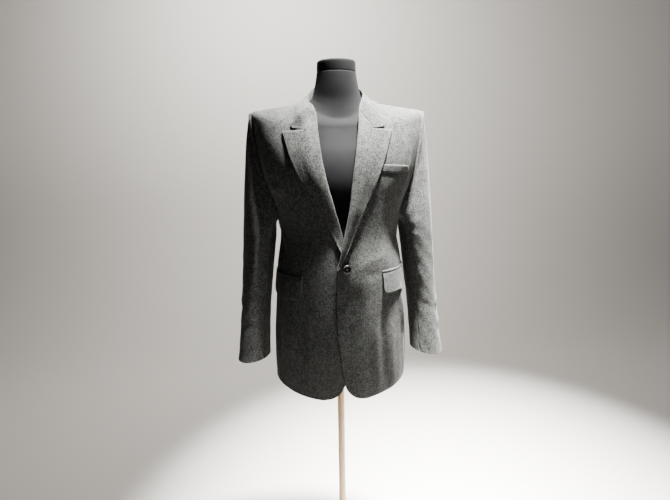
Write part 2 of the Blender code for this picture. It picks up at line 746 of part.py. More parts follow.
wall("welt_breast", 6, 2, welt_place, WELT_CLOTH)


# ---------------------------------------------------------------- button
phi_button, t_button = front_point(*BUTTON_AT)
button = turned(
    "button_front",
    [
        (0.0, 0.0), (0.0070, 0.0), (0.0095, 0.0006), (BUTTON_DIAMETER / 2 - 0.0006, 0.0014),
        (BUTTON_DIAMETER / 2, 0.0024), (BUTTON_DIAMETER / 2 - 0.0007, BUTTON_THICKNESS),
        (BUTTON_DIAMETER / 2 - 0.0022, BUTTON_THICKNESS), (0.0070, 0.0024), (0.0, 0.0022),
    ],
    28,
    HORN,
)
for k in range(4):
    turn = math.radians(45 + 90 * k)
    cutter = turned(
        "hole_" + str(k), [(0.0, -0.01), (0.0011, -0.01), (0.0011, 0.01), (0.0, 0.01)], 8, HORN,
        (0.0026 * math.cos(turn), 0.0026 * math.sin(turn)),
    )
    cutter.hide_render = True
    cutter.display_type = "WIRE"
    cut = button.modifiers.new("hole", "BOOLEAN")
    cut.operation = "DIFFERENCE"
    cut.object = cutter
    cutter.parent = button
facing = Vector(body_normal(phi_button, t_button))
spot = Vector(body(phi_button, t_button, left_lift(phi_button, t_button) + 0.0004))
button.matrix_world = Matrix.Translation(spot) @ facing.to_track_quat("Z", "Y").to_matrix().to_4x4()


# ---------------------------------------------------------------- dress form, pole and base
def form_point(phi, t):
    side, front, back = by_first(FORM_INSET, t)
    c = math.cos(phi)
    inset = side + ((front if c > 0 else back) - side) * c * c
    return body(phi, t, -inset)


FORM_SIDES = 36
form_rings = []
low_ring = [form_point(math.tau * k / FORM_SIDES, 0.112) for k in range(FORM_SIDES)]
for shrink, drop in ((0.30, 0.030), (0.70, 0.026), (0.90, 0.014)):
    form_rings.append([
        np.array([p[0] * shrink, p[1] * shrink, 0.780 - drop + (p[2] - 0.780) * shrink]) for p in low_ring
    ])
for t in np.concatenate([np.linspace(0.125, 0.690, 15), np.linspace(0.715, 0.855, 8)]):
    form_rings.append([form_point(math.tau * k / FORM_SIDES, t) for k in range(FORM_SIDES)])
for z_side, z_front, z_back, half, front, back in NECK:
    row = (half, front, back, z_side, z_front, z_back, 2.0)
    form_rings.append([ring_point(math.tau * k / FORM_SIDES, row) for k in range(FORM_SIDES)])
form_rings[0] = [np.array([p[0], p[1], 0.750]) for p in form_rings[0]]
tube_of_rings("form_torso", form_rings, JERSEY)

cap_low = NECK_TOP - CAP_HEIGHT
cap_rings = []
for z, grow in ((cap_low, 0.0), (NECK_TOP - 0.0025, -0.0004), (NECK_TOP - 0.0006, -0.0014), (NECK_TOP, -0.0032)):
    row = (0.0484 + grow, 0.0472 + grow, 0.0468 + grow, z, z, z, 2.0)
    cap_rings.append([ring_point(math.tau * k / FORM_SIDES, row) for k in range(FORM_SIDES)])
tube_of_rings("form_neck_cap", cap_rings, JERSEY)

turned(
    "stand_pole",
    [(0.0, BASE_HEIGHT + 0.0003), (POLE_DIAMETER / 2, BASE_HEIGHT + 0.0003),
     (POLE_DIAMETER / 2, 0.7497), (0.0, 0.7497)],
    24, OAK,
)
turned(
    "stand_base",
    [(0.0, 0.0), (BASE_DIAMETER / 2 - 0.003, 0.0), (BASE_DIAMETER / 2, 0.003),
     (BASE_DIAMETER / 2, BASE_HEIGHT - 0.006), (BASE_DIAMETER / 2 - 0.002, BASE_HEIGHT - 0.002),
     (BASE_DIAMETER / 2 - 0.006, BASE_HEIGHT), (0.0, BASE_HEIGHT)],
    56, OAK,
)
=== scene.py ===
"""A single-breasted blazer of charcoal flannel on its dress form, pole and base.

Metres, +Z up, the jacket's front faces -Y and the wearer's left is +X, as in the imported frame.
"""
import math

import bmesh
import bpy
import numpy as np
from mathutils import Matrix, Vector


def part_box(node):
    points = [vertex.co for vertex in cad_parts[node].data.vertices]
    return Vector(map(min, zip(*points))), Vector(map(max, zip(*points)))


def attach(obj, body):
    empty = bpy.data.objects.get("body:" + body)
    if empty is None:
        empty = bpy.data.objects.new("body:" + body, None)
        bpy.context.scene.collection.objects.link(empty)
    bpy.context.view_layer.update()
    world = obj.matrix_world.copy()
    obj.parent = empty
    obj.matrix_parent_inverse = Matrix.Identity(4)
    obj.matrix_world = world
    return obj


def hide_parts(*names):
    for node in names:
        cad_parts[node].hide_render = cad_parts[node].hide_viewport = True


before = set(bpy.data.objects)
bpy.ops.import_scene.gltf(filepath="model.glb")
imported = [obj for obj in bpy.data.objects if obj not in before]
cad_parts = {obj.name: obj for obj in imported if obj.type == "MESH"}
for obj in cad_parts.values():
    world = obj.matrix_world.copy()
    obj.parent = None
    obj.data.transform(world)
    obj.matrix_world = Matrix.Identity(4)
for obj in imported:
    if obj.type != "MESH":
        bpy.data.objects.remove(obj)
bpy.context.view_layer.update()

# ---------------------------------------------------------------- camera
# It stands a step away at chest height, a little to the wearer's right, and looks slightly down
# through a wide lens.
CAMERA_PLACE = (-0.0950, -1.1651, 1.2800)
CAMERA_TURN = math.radians(-4.15)
CAMERA_PITCH = math.radians(12.3)
CAMERA_ROLL = math.radians(-0.96)
CAMERA_LENS, CAMERA_SENSOR = 23.91, 36.0      # millimetres

ahead = Vector((
    -math.sin(CAMERA_TURN) * math.cos(CAMERA_PITCH),
    math.cos(CAMERA_TURN) * math.cos(CAMERA_PITCH),
    -math.sin(CAMERA_PITCH),
))
level = Vector((math.cos(CAMERA_TURN), math.sin(CAMERA_TURN), 0.0))
upward = level.cross(ahead)
across = level * math.cos(CAMERA_ROLL) + upward * math.sin(CAMERA_ROLL)
upward = upward * math.cos(CAMERA_ROLL) - level * math.sin(CAMERA_ROLL)
camera_data = bpy.data.cameras.new("camera")
camera_data.sensor_width = CAMERA_SENSOR
camera_data.lens = CAMERA_LENS
camera = bpy.data.objects.new("camera", camera_data)
looking = Matrix((across, upward, -ahead)).transposed().to_4x4()
camera.matrix_world = Matrix.Translation(CAMERA_PLACE) @ looking
bpy.context.scene.collection.objects.link(camera)
bpy.context.scene.camera = camera


# ---------------------------------------------------------------- floor and light
# A pale floor that curves up into a plain wall behind, a narrow warm lamp high over the wearer's
# left shoulder, a weak wide one in front and a wide one behind the jacket that lights the wall.
def made_object(name, bm, material):
    mesh = bpy.data.meshes.new(name)
    bm.to_mesh(mesh)
    bm.free()
    mesh.shade_smooth()
    mesh.materials.append(material)
    made = bpy.data.objects.new(name, mesh)
    bpy.context.scene.collection.objects.link(made)
    return made


def fill_in(tree, node, values):
    """Sets a node's inputs, or links the ones whose value is another node's output."""
    for name, value in values.items():
        if isinstance(value, bpy.types.NodeSocket):
            tree.links.new(value, node.inputs[name])
        else:
            node.inputs[name].default_value = value
    return node


def plain_material(name, colour, roughness, **finish):
    """A material and its shader, finish giving more of the shader's inputs, with _ for a space."""
    made = bpy.data.materials.new(name)
    made.use_nodes = True
    values = {"Base Color": (*colour, 1.0), "Roughness": roughness}
    values.update((key.replace("_", " "), value) for key, value in finish.items())
    fill_in(made.node_tree, made.node_tree.nodes["Principled BSDF"], values)
    return made


FLOOR_HALF = 4.0
FLOOR_Z = -0.0005
WALL_AT = 2.2
WALL_HEIGHT = 4.0
WALL_CURVE = 0.9
CURVE_STEPS = 12


def pull_out(bm, edges, vector):
    raised = bmesh.ops.extrude_edge_only(bm, edges=edges)["geom"]
    bmesh.ops.translate(bm, verts=[v for v in raised if isinstance(v, bmesh.types.BMVert)], vec=vector)
    return [e for e in raised if isinstance(e, bmesh.types.BMEdge) and len(e.link_faces) == 1
            and all(v in raised for v in e.verts)]


bm = bmesh.new()
front_edge = [bm.verts.new((x, -FLOOR_HALF, FLOOR_Z)) for x in (-FLOOR_HALF, FLOOR_HALF)]
strip = pull_out(bm, [bm.edges.new(front_edge)], (0.0, FLOOR_HALF + WALL_AT - WALL_CURVE, 0.0))
for step in range(CURVE_STEPS):
    low = math.pi / 2 * step / CURVE_STEPS
    high = math.pi / 2 * (step + 1) / CURVE_STEPS
    strip = pull_out(bm, strip, (
        0.0, WALL_CURVE * (math.sin(high) - math.sin(low)), WALL_CURVE * (math.cos(low) - math.cos(high)),
    ))
pull_out(bm, strip, (0.0, 0.0, WALL_HEIGHT))
bmesh.ops.recalc_face_normals(bm, faces=bm.faces[:])
floor = made_object("floor", bm, plain_material("pale backdrop", (0.60, 0.585, 0.565), 0.9))


def soft_light(name, place, aim, size, power, colour, spread=180.0):
    lamp = bpy.data.lights.new(name, "AREA")
    lamp.spread = math.radians(spread)
    lamp.shape = "DISK"
    lamp.size = size
    lamp.energy = power
    lamp.color = colour
    made = bpy.data.objects.new(name, lamp)
    made.location = place
    made.rotation_euler = (Vector(aim) - Vector(place)).to_track_quat("-Z", "Y").to_euler()
    bpy.context.scene.collection.objects.link(made)


# name, place, aim, size across, watts, colour, and the key's spread in degrees
soft_light("key", (0.28, -0.17, 3.10), (0.36, -0.04, 1.40), 0.20, 140.0, (1.0, 0.98, 0.95), 44.0)
soft_light("fill", (1.7, -1.8, 1.9), (0.0, 0.0, 1.1), 0.9, 3.0, (1.0, 0.97, 0.92))
soft_light("back", (-0.3, 0.9, 2.6), (0.0, 2.2, 1.2), 1.2, 90.0, (1.0, 0.96, 0.90))
world = bpy.data.worlds.new("room")
world.use_nodes = True
fill_in(world.node_tree, world.node_tree.nodes["Background"], {
    "Color": (1.0, 0.99, 0.97, 1.0), "Strength": 0.055,
})
bpy.context.scene.world = world


# ---------------------------------------------------------------- base and pole
# A round wooden base turned with a rounded rim, and a straight round pole glued into its middle.
# Both are pale wood under a clear satin lacquer.
def new_node(tree, kind, values):
    return fill_in(tree, tree.nodes.new("ShaderNode" + kind), values)


def value_noise(tree, vector, scale, detail, roughness=0.5):
    return new_node(tree, "TexNoise", {
        "Vector": vector, "Scale": scale, "Detail": detail, "Roughness": roughness,
    }).outputs["Fac"]


def colour_ramp(tree, value, stops):
    ramp = new_node(tree, "ValToRGB", {"Fac": value})
    elements = ramp.color_ramp.elements
    while len(elements) < len(stops):
        elements.new(0.5)
    for element, (place, colour) in zip(elements, stops):
        element.position = place
        element.color = (*colour, 1.0)
    return ramp.outputs["Color"]


def finished(made, colour, height=None, strength=0.0, distance=0.0):
    """Leads the colour to the material's shader, and the height as a bump that many metres high."""
    tree = made.node_tree
    values = {"Base Color": colour}
    if height is not None:
        bump = new_node(tree, "Bump", {"Strength": strength, "Distance": distance, "Height": height})
        values["Normal"] = bump.outputs["Normal"]
    fill_in(tree, tree.nodes["Principled BSDF"], values)
    return made


def lacquered_wood(name, stretch):
    """Pale wood whose grain runs along the axis with the smallest stretch."""
    made = plain_material(name, (0.55, 0.38, 0.20), 0.42, Coat_Weight=0.25, Coat_Roughness=0.25)
    tree = made.node_tree
    place = tree.nodes.new("ShaderNodeTexCoord").outputs["Object"]
    along_grain = new_node(tree, "Mapping", {"Vector": place, "Scale": stretch}).outputs["Vector"]
    colour = colour_ramp(tree, value_noise(tree, along_grain, 55.0, 6.0, 0.62), (
        (0.30, (0.40, 0.235, 0.105)), (0.50, (0.60, 0.40, 0.20)), (0.72, (0.68, 0.48, 0.27)),
    ))
    return finished(made, colour, value_noise(tree, along_grain, 240.0, 3.0), 0.25, 0.0006)


def turned(name, profile, sides, round_edges, material):
    """A solid of revolution about the upright axis, its sharp rims rounded by round_edges metres."""
    bm = bmesh.new()
    line = [bm.verts.new((radius, 0.0, z)) for radius, z in profile]
    edges = [bm.edges.new(pair) for pair in zip(line[:-1], line[1:])]
    bmesh.ops.spin(
        bm, geom=line + edges, cent=(0, 0, 0), axis=(0, 0, 1), angle=math.tau, steps=sides,
        use_merge=True, use_duplicate=False,
    )
    bmesh.ops.remove_doubles(bm, verts=bm.verts[:], dist=1e-6)
    bmesh.ops.recalc_face_normals(bm, faces=bm.faces[:])
    if round_edges:
        rims = [e for e in bm.edges if len(e.link_faces) == 2 and e.calc_face_angle() > math.radians(40)]
        bmesh.ops.bevel(
            bm, geom=rims, offset=round_edges, affect="EDGES", segments=4, profile=0.5, material=-1,
        )
    return made_object(name, bm, material)


base_low, base_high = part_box("stand_base")
base_radius = (base_high.x - base_low.x) / 2
# section from the middle of the under side to the middle of the top, with a small and a wide chamfer
base_section = [
    (0.0, base_low.z), (base_radius - 0.003, base_low.z), (base_radius, base_low.z + 0.003),
    (base_radius, base_high.z - 0.004), (base_radius - 0.006, base_high.z), (0.0, base_high.z),
]
base_wood = lacquered_wood("base wood", (1.0, 9.0, 9.0))
base = turned("turned_base", base_section, 160, 0.0016, base_wood)
pole_low, pole_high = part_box("stand_pole")
pole_radius = (pole_high.x - pole_low.x) / 2
pole_section = [
    (0.0, pole_low.z), (pole_radius, pole_low.z), (pole_radius, pole_high.z), (0.0, pole_high.z),
]
pole_wood = lacquered_wood("pole wood", (9.0, 9.0, 0.8))
pole = turned("round_pole", pole_section, 64, 0.0008, pole_wood)
for piece, node in ((base, "stand_base"), (pole, "stand_pole")):
    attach(piece, "root")
    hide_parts(node)

# ---------------------------------------------------------------- dress form
# A padded torso without arms or legs, pulled over with a tube of black cotton jersey that is
# closed under a flat round neck cap. It stands inside the jacket, 6 to 36 mm within its surface.

# The jacket's own body surface is set out here, because the form is that surface moved inwards:
# phi runs round from the centre front (0) over the wearer's left side (90) to the centre back
# (180), and t runs up from the hem (0), over the shoulder, to the neck seam.
# Each ring: t, half width, front depth, back depth, z at side, z at front, z at back, squareness.
BODY = np.array([
    (0.000, 0.1795, 0.1225, 0.1250, 0.684, 0.650, 0.672, 2.30),
    (0.140, 0.1765, 0.1300, 0.1220, 0.816, 0.800, 0.808, 2.30),
    (0.255, 0.1700, 0.1320, 0.1080, 0.925, 0.918, 0.922, 2.30),
    (0.330, 0.1640, 0.1315, 0.0990, 0.998, 0.994, 0.996, 2.30),
    (0.420, 0.1530, 0.1265, 0.0930, 1.088, 1.086, 1.088, 2.25),
    (0.490, 0.1700, 0.1260, 0.1000, 1.155, 1.155, 1.155, 2.20),
    (0.555, 0.1950, 0.1250, 0.1090, 1.220, 1.215, 1.222, 2.20),
    (0.640, 0.2090, 0.1120, 0.1120, 1.305, 1.285, 1.300, 2.20),
    (0.680, 0.2125, 0.1010, 0.1020, 1.345, 1.311, 1.327, 2.20),
    (0.715, 0.2110, 0.0900, 0.0920, 1.381, 1.335, 1.352, 2.15),
    (0.735, 0.1915, 0.0870, 0.0860, 1.385, 1.340, 1.363, 2.15),
    (0.785, 0.1420, 0.0800, 0.0720, 1.393, 1.352, 1.388, 2.10),
    (0.855, 0.0750, 0.0660, 0.0560, 1.403, 1.368, 1.416, 2.00),
])
SHOULDER_TIP = BODY[9, 0]
NECK_SEAM = BODY[-1, 0]
# t, then how far the form lies inside the jacket at the side, in front and at the back
FORM_INSET = np.array([
    (0.110, 0.0300, 0.0240, 0.0300),
    (0.255, 0.0260, 0.0220, 0.0220),
    (0.420, 0.0220, 0.0200, 0.0180),
    (0.555, 0.0360, 0.0140, 0.0160),
    (0.640, 0.0360, 0.0140, 0.0160),
    (0.715, 0.0280, 0.0140, 0.0120),
    (0.770, 0.0060, 0.0120, 0.0110),
    (0.855, 0.0060, 0.0100, 0.0100),
])
# z at side, in front and at the back, half width, front depth, back depth of the neck's rings
NECK = np.array([
    (1.4090, 1.3830, 1.4220, 0.0635, 0.0540, 0.0455),
    (1.4230, 1.4050, 1.4300, 0.0585, 0.0510, 0.0460),
    (1.4400, 1.4320, 1.4420, 0.0545, 0.0500, 0.0480),
    (1.4570, 1.4560, 1.4570, 0.0512, 0.0488, 0.0475),
    (1.4736, 1.4736, 1.4736, 0.0488, 0.0475, 0.0470),
])


def ease(value, start, end):
    share = np.clip((value - start) / (end - start), 0.0, 1.0)
    return share * share * (3 - 2 * share)


def hermite(a, slope_a, b, slope_b, s):
    return (
        (2 * s**3 - 3 * s * s + 1) * a + (s**3 - 2 * s * s + s) * slope_a
        + (3 * s * s - 2 * s**3) * b + (s**3 - s * s) * slope_b
    )


def smooth_rows(keys, rows, value):
    """The smooth curve that goes through rows at keys, read at value."""
    slopes = np.gradient(rows, keys, axis=0)
    value = np.clip(value, keys[0], keys[-1])
    i = np.clip(np.searchsorted(keys, value, "right") - 1, 0, len(keys) - 2)
    step = (keys[i + 1] - keys[i])[..., None]
    s = (value - keys[i])[..., None] / step
    return hermite(rows[i], step * slopes[i], rows[i + 1], step * slopes[i + 1], s)


def by_first(table, value):
    return smooth_rows(table[:, 0], table[:, 1:], np.asarray(value, float))


def along(table, share):
    """The smooth curve through the rows of table, share running from 0 to 1 by row."""
    table = np.asarray(table, float)
    last = len(table) - 1
    return smooth_rows(np.arange(last + 1.0), table, np.clip(np.asarray(share, float), 0, 1) * last)


def oval(phi, half, front, back, z_side, z_front, z_back, square):
    s = np.sin(phi)
    c = np.cos(phi)
    depth = np.where(c > 0, front, back)
    z_end = np.where(c > 0, z_front, z_back)
    return np.stack([
        half * np.copysign(np.abs(s) ** (2 / square), s),
        -depth * np.copysign(np.abs(c) ** (2 / square), c),
        z_side + (z_end - z_side) * c * c,
    ], axis=-1)


def columns_of(rows):
    return np.moveaxis(rows, -1, 0)


def bare_body(phi, t):
    return oval(phi, *columns_of(by_first(BODY, t)))


def unit(vectors):
    return vectors / np.maximum(np.linalg.norm(vectors, axis=-1, keepdims=True), 1e-12)


def body_normal(phi, t):
    e = 2e-3
    t = np.clip(t, e, NECK_SEAM - e)
    return unit(np.cross(
        bare_body(phi + e, t) - bare_body(phi - e, t), bare_body(phi, t + e) - bare_body(phi, t - e),
    ))


def from_edges(points):
    """Distance over the surface from its first column, last column, first row and last row."""
    row_steps = np.pad(np.linalg.norm(np.diff(points, axis=1), axis=-1), ((0, 0), (1, 0)))
    column_steps = np.pad(np.linalg.norm(np.diff(points, axis=0), axis=-1), ((1, 0), (0, 0)))
    left = np.cumsum(row_steps, axis=1)
    low = np.cumsum(column_steps, axis=0)
    return {"left": left, "right": left[:, -1:] - left, "low": low, "high": low[-1:] - low}


def mapped_grid(points):
    """A bmesh grid whose corners lie at points[row, column], its faces seen from outside."""
    rows = points.shape[0] - 1
    columns = points.shape[1] - 1
    away = from_edges(points)
    bm = bmesh.new()
    bmesh.ops.create_grid(bm, x_segments=columns, y_segments=rows, size=0.5)
    uv = bm.loops.layers.uv.new("cut")
    for vert in bm.verts:
        i = round((vert.co.x + 0.5) * columns)
        j = round((vert.co.y + 0.5) * rows)
        vert.co = points[j, i]
        for loop in vert.link_loops:
            loop[uv].uv = (away["left"][j, i], away["low"][j, i])
    return bm


def subdivided(piece):
    finer = piece.modifiers.new("finer", "SUBSURF")
    finer.levels = 1
    finer.render_levels = 1


def closed_by_caps(points):
    bm = mapped_grid(points)
    bmesh.ops.remove_doubles(bm, verts=bm.verts[:], dist=1e-6)
    rims = [e for e in bm.edges if len(e.link_faces) == 1]
    bmesh.ops.holes_fill(bm, edges=rims, sides=0)
    bmesh.ops.recalc_face_normals(bm, faces=bm.faces[:])
    return bm


def jersey(name):
    """Fine black single jersey: thin upright ribs of loops, soft and a little hairy."""
    made = plain_material(
        name, (0.012, 0.012, 0.013), 0.82, Sheen_Weight=0.01, Sheen_Roughness=0.45,
        Sheen_Tint=(0.75, 0.77, 0.80, 1.0), Specular_IOR_Level=0.05,
    )
    tree = made.node_tree
    place = tree.nodes.new("ShaderNodeTexCoord").outputs["Object"]
    ribs = new_node(tree, "TexWave", {"Vector": place, "Scale": 260.0, "Distortion": 0.6})
    ribs.bands_direction = "X"
    hairs = value_noise(tree, place, 900.0, 2.0)
    hairy = new_node(tree, "Math", {0: ribs.outputs["Fac"], 1: 0.6, 2: hairs})
    hairy.operation = "MULTIPLY_ADD"
    colour = colour_ramp(tree, value_noise(tree, place, 14.0, 2.0), (
        (0.35, (0.0060, 0.0061, 0.0064)), (0.65, (0.0090, 0.0092, 0.0096)),
    ))
    return finished(made, colour, hairy.outputs["Value"], 0.35, 0.0004)


black_jersey = jersey("black jersey")
UNDER_RIM_Z, UNDER_MIDDLE_Z = 0.780, 0.750
# the rounded under side of the torso: each ring's share of the girth, and how far it lies lower
UNDER_RINGS = ((0.20, 0.030), (0.45, 0.029), (0.70, 0.026), (0.85, 0.019), (0.95, 0.009))
NECK_TOP_ROUND = 0.0010
round_form = np.linspace(0.0, math.tau, 73)
form_t = np.concatenate([np.linspace(0.112, 0.69, 40), np.linspace(0.70, NECK_SEAM, 16)])
phi, t = np.meshgrid(round_form, form_t)
side_in, front_in, back_in = columns_of(by_first(FORM_INSET, t))
inset = side_in + (np.where(np.cos(phi) > 0, front_in, back_in) - side_in) * np.cos(phi) ** 2
shell = bare_body(phi, t) - body_normal(phi, t) * inset[..., None]
under = []
for shrink, drop in UNDER_RINGS:
    ring = shell[0] * np.array([shrink, shrink, 1.0])
    ring[:, 2] = UNDER_RIM_Z - drop + (shell[0, :, 2] - UNDER_RIM_Z) * shrink
    under.append(ring)
under[0][:, 2] = UNDER_MIDDLE_Z
neck_rows = along(NECK, np.linspace(0.0, 1.0, 14))
top_edge = neck_rows[-1:] - NECK_TOP_ROUND * np.array([1, 1, 1, 0, 0, 0])
neck_rings = [
    oval(round_form, half, front, back, z_side, z_front, z_back, 2.0)
    for z_side, z_front, z_back, half, front, back
    in np.concatenate([neck_rows[:-1], top_edge, neck_rows[-1:]])
]
torso = made_object("form_body", closed_by_caps(np.array(under + list(shell) + neck_rings)), black_jersey)
subdivided(torso)

# the neck cap's rings: rise over its lower face and how much wider than its half width and depths
CAP_HALF, CAP_FRONT, CAP_BACK = 0.0484, 0.0472, 0.0468
CAP_HEIGHT = 0.026
CAP_RINGS = (
    (0.0, -0.0030), (0.0, -0.0002), (0.0003, 0.0), (0.0012, 0.0), (0.0090, 0.0), (0.0170, -0.0003),
    (0.0230, -0.0006), (0.0250, -0.0018), (0.0258, -0.0040), (0.0260, -0.0080), (0.0260, -0.0300),
)
cap_low, cap_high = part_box("form_neck_cap")
cap_rings = []
for rise, grow in CAP_RINGS:
    z = cap_low.z + rise * (cap_high.z - cap_low.z) / CAP_HEIGHT
    cap_rings.append(oval(round_form, CAP_HALF + grow, CAP_FRONT + grow, CAP_BACK + grow, z, z, z, 2.0))
neck_cap = made_object("form_cap", closed_by_caps(np.array(cap_rings)), black_jersey)
subdivided(neck_cap)
for piece, node in ((torso, "form_torso"), (neck_cap, "form_neck_cap")):
    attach(piece, "root")
    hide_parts(node)

# ---------------------------------------------------------------- fronts
# The two fronts, cut in charcoal melange wool flannel over canvas, each from its front edge to the
# side-body seam. The wearer's left front laps over the right one, both turn away in a rounded corner
# at the hem, and they hang in a few soft upright folds.
FLANNEL_THICK = 0.0018
LEFT_OVER = 0.0030        # how far the left front lies off the body surface, over the right one
OVER_LAPEL = 0.0023       # and how much further over the right lapel's lower end
SEAM_GAP = 0.0002

# soft folds: phi in degrees (minus on the wearer's right) and t of one end, of the other end,
# half width in metres, and height, which is minus for a trough
BODY_FOLDS = np.array([
    (24.0, 0.030, 25.0, 0.200, 0.0110, 0.0026),
    (33.0, 0.020, 32.0, 0.230, 0.0100, -0.0040),
    (43.0, 0.010, 44.0, 0.185, 0.0120, 0.0026),
    (60.0, 0.275, 67.0, 0.150, 0.0120, 0.0066),
    (74.0, 0.265, 76.0, 0.080, 0.0110, -0.0044),
    (84.0, 0.020, 82.0, 0.190, 0.0120, 0.0024),
    (9.0, 0.345, 46.0, 0.372, 0.0075, 0.0012),
    (12.0, 0.318, 52.0, 0.330, 0.0085, -0.0012),
    (60.0, 0.360, 88.0, 0.415, 0.0080, -0.0022),
    (58.0, 0.385, 86.0, 0.440, 0.0075, 0.0018),
    (61.0, 0.520, 64.0, 0.625, 0.0080, -0.0020),
    (54.0, 0.500, 57.0, 0.600, 0.0090, 0.0012),
    (-26.0, 0.020, -27.0, 0.210, 0.0110, 0.0024),
    (-36.0, 0.015, -34.0, 0.190, 0.0100, -0.0028),
    (-48.0, 0.010, -46.0, 0.215, 0.0120, 0.0024),
    (-64.0, 0.190, -68.0, 0.060, 0.0110, -0.0024),
    (-80.0, 0.020, -82.0, 0.180, 0.0130, 0.0022),
    (-58.0, 0.370, -86.0, 0.420, 0.0080, -0.0022),
    (-60.0, 0.396, -88.0, 0.445, 0.0075, 0.0018),
    (-47.0, 0.548, -66.0, 0.560, 0.0065, -0.0032),
    (-45.0, 0.530, -63.0, 0.538, 0.0080, 0.0024),
    (-60.0, 0.600, -55.0, 0.500, 0.0100, 0.0012),
    (118.0, 0.010, 120.0, 0.190, 0.0120, 0.0024),
    (136.0, 0.020, 134.0, 0.230, 0.0130, -0.0024),
    (152.0, 0.010, 154.0, 0.180, 0.0130, 0.0020),
    (120.0, 0.395, 150.0, 0.360, 0.0085, -0.0018),
    (122.0, 0.430, 158.0, 0.400, 0.0085, 0.0016),
    (118.0, 0.500, 124.0, 0.620, 0.0100, -0.0020),
    (-122.0, 0.010, -120.0, 0.200, 0.0120, 0.0022),
    (-140.0, 0.020, -143.0, 0.210, 0.0130, -0.0024),
    (-158.0, 0.010, -156.0, 0.170, 0.0130, 0.0018),
    (-118.0, 0.400, -148.0, 0.368, 0.0085, -0.0018),
    (-124.0, 0.436, -156.0, 0.406, 0.0085, 0.0014),
    (-118.0, 0.510, -123.0, 0.625, 0.0100, -0.0020),
])
GIRTH_RADIUS = 0.165      # of the body, for turning a fold's degrees into metres


def swell(distance, high, half, at=0.0):
    """A soft ridge of this height and half width at that distance, or a ditch where it is minus."""
    return high * np.exp(-(((distance - at) / half) ** 2))


def folded(folds, first, second, metres_per_first):
    """Height of all the folds at each place, first and second being the folds' two coordinates."""
    height = np.zeros(np.shape(first))
    for first_a, second_a, first_b, second_b, wide, high in folds:
        run_x = (first_b - first_a) * metres_per_first
        run_y = second_b - second_a
        long = math.hypot(run_x, run_y)
        x = (first - first_a) * metres_per_first
        y = second - second_a
        share = (x * run_x + y * run_y) / long**2
        off = (x * run_y - y * run_x) / long
        ends = ease(share, -0.12, 0.30) * (1 - ease(share, 0.70, 1.12))
        height += swell(off, high, wide) * ends
    return height


def drape(phi, t):
    """How far the hanging cloth stands off the plain body surface: its folds and a slight waviness."""
    turn = (phi + math.pi) % math.tau - math.pi
    soft = folded(BODY_FOLDS, np.degrees(turn), t, GIRTH_RADIUS * math.pi / 180)
    uneven = 0.0004 * np.sin(9 * turn + 21 * t) + 0.0003 * np.sin(17 * turn - 33 * t + 1.3)
    return soft + uneven * (1 - ease(t, 0.60, 0.70))


def body(phi, t, out=0.0):
    """The jacket's outer surface with its folds, moved out by this much."""
    lift = drape(phi, t) + out
    return bare_body(phi, t) + body_normal(phi, t) * np.asarray(lift)[..., None]


def front_point(x, z):
    """phi and t where the plain body surface has this x and z in front view, found in small damped
    steps from a rough guess."""
    phi = np.arcsin(np.clip(x / 0.22, -0.9, 0.9)) * 1.3
    t = np.clip(z - 0.66, 0.01, 0.80)
    e = 1e-4
    damp = 1e-5
    for _ in range(24):
        here = bare_body(phi, t)
        by_phi = (bare_body(phi + e, t) - here) / e
        by_t = (here - bare_body(phi, t - e)) / e
        a, b, c, d = by_phi[..., 0], by_t[..., 0], by_phi[..., 2], by_t[..., 2]
        error_x = x - here[..., 0]
        error_z = z - here[..., 2]
        m11, m12, m22 = a * a + c * c + damp, a * b + c * d, b * b + d * d + damp
        g1, g2 = a * error_x + c * error_z, b * error_x + d * error_z
        det = m11 * m22 - m12 * m12
        phi = np.clip(phi + (m22 * g1 - m12 * g2) / det, -1.75, 1.75)
        t = np.clip(t + (m11 * g2 - m12 * g1) / det, 1e-4, NECK_SEAM)
    return phi, t


def left_lift(phi, t):
    """The left front stands this far off the body surface where it lies over the right one."""
    x = bare_body(phi, t)[..., 0]
    over_lapel = OVER_LAPEL * ease(t, 0.255, 0.315)
    return (LEFT_OVER + over_lapel) * (1 - ease(x, 0.035, 0.085)) * (1 - ease(t, 0.47, 0.56))


# The jacket hangs a little askew, so each side has its own lines, in the outward x of that side:
# 1 is the wearer's left and -1 the wearer's right.
# front view of the front edge, from the rounded hem up
FRONT_CORNER = {
    1: np.array([
        (0.0600, 0.6530), (0.0400, 0.6548), (0.0240, 0.6620), (0.0115, 0.6740), (0.0025, 0.6900),
        (-0.0035, 0.7200), (-0.0088, 0.7600), (-0.0133, 0.8050), (-0.0170, 0.8550),
        (-0.0181, 0.9050), (-0.0179, 0.9550), (-0.0168, 1.0040),
    ]),
    -1: np.array([
        (0.0560, 0.6530), (0.0360, 0.6548), (0.0200, 0.6620), (0.0080, 0.6740), (0.0000, 0.6900),
        (-0.0085, 0.7200), (-0.0150, 0.7600), (-0.0195, 0.8050), (-0.0225, 0.8550),
        (-0.0235, 0.9050), (-0.0235, 0.9550), (-0.0235, 1.0040),
    ]),
}
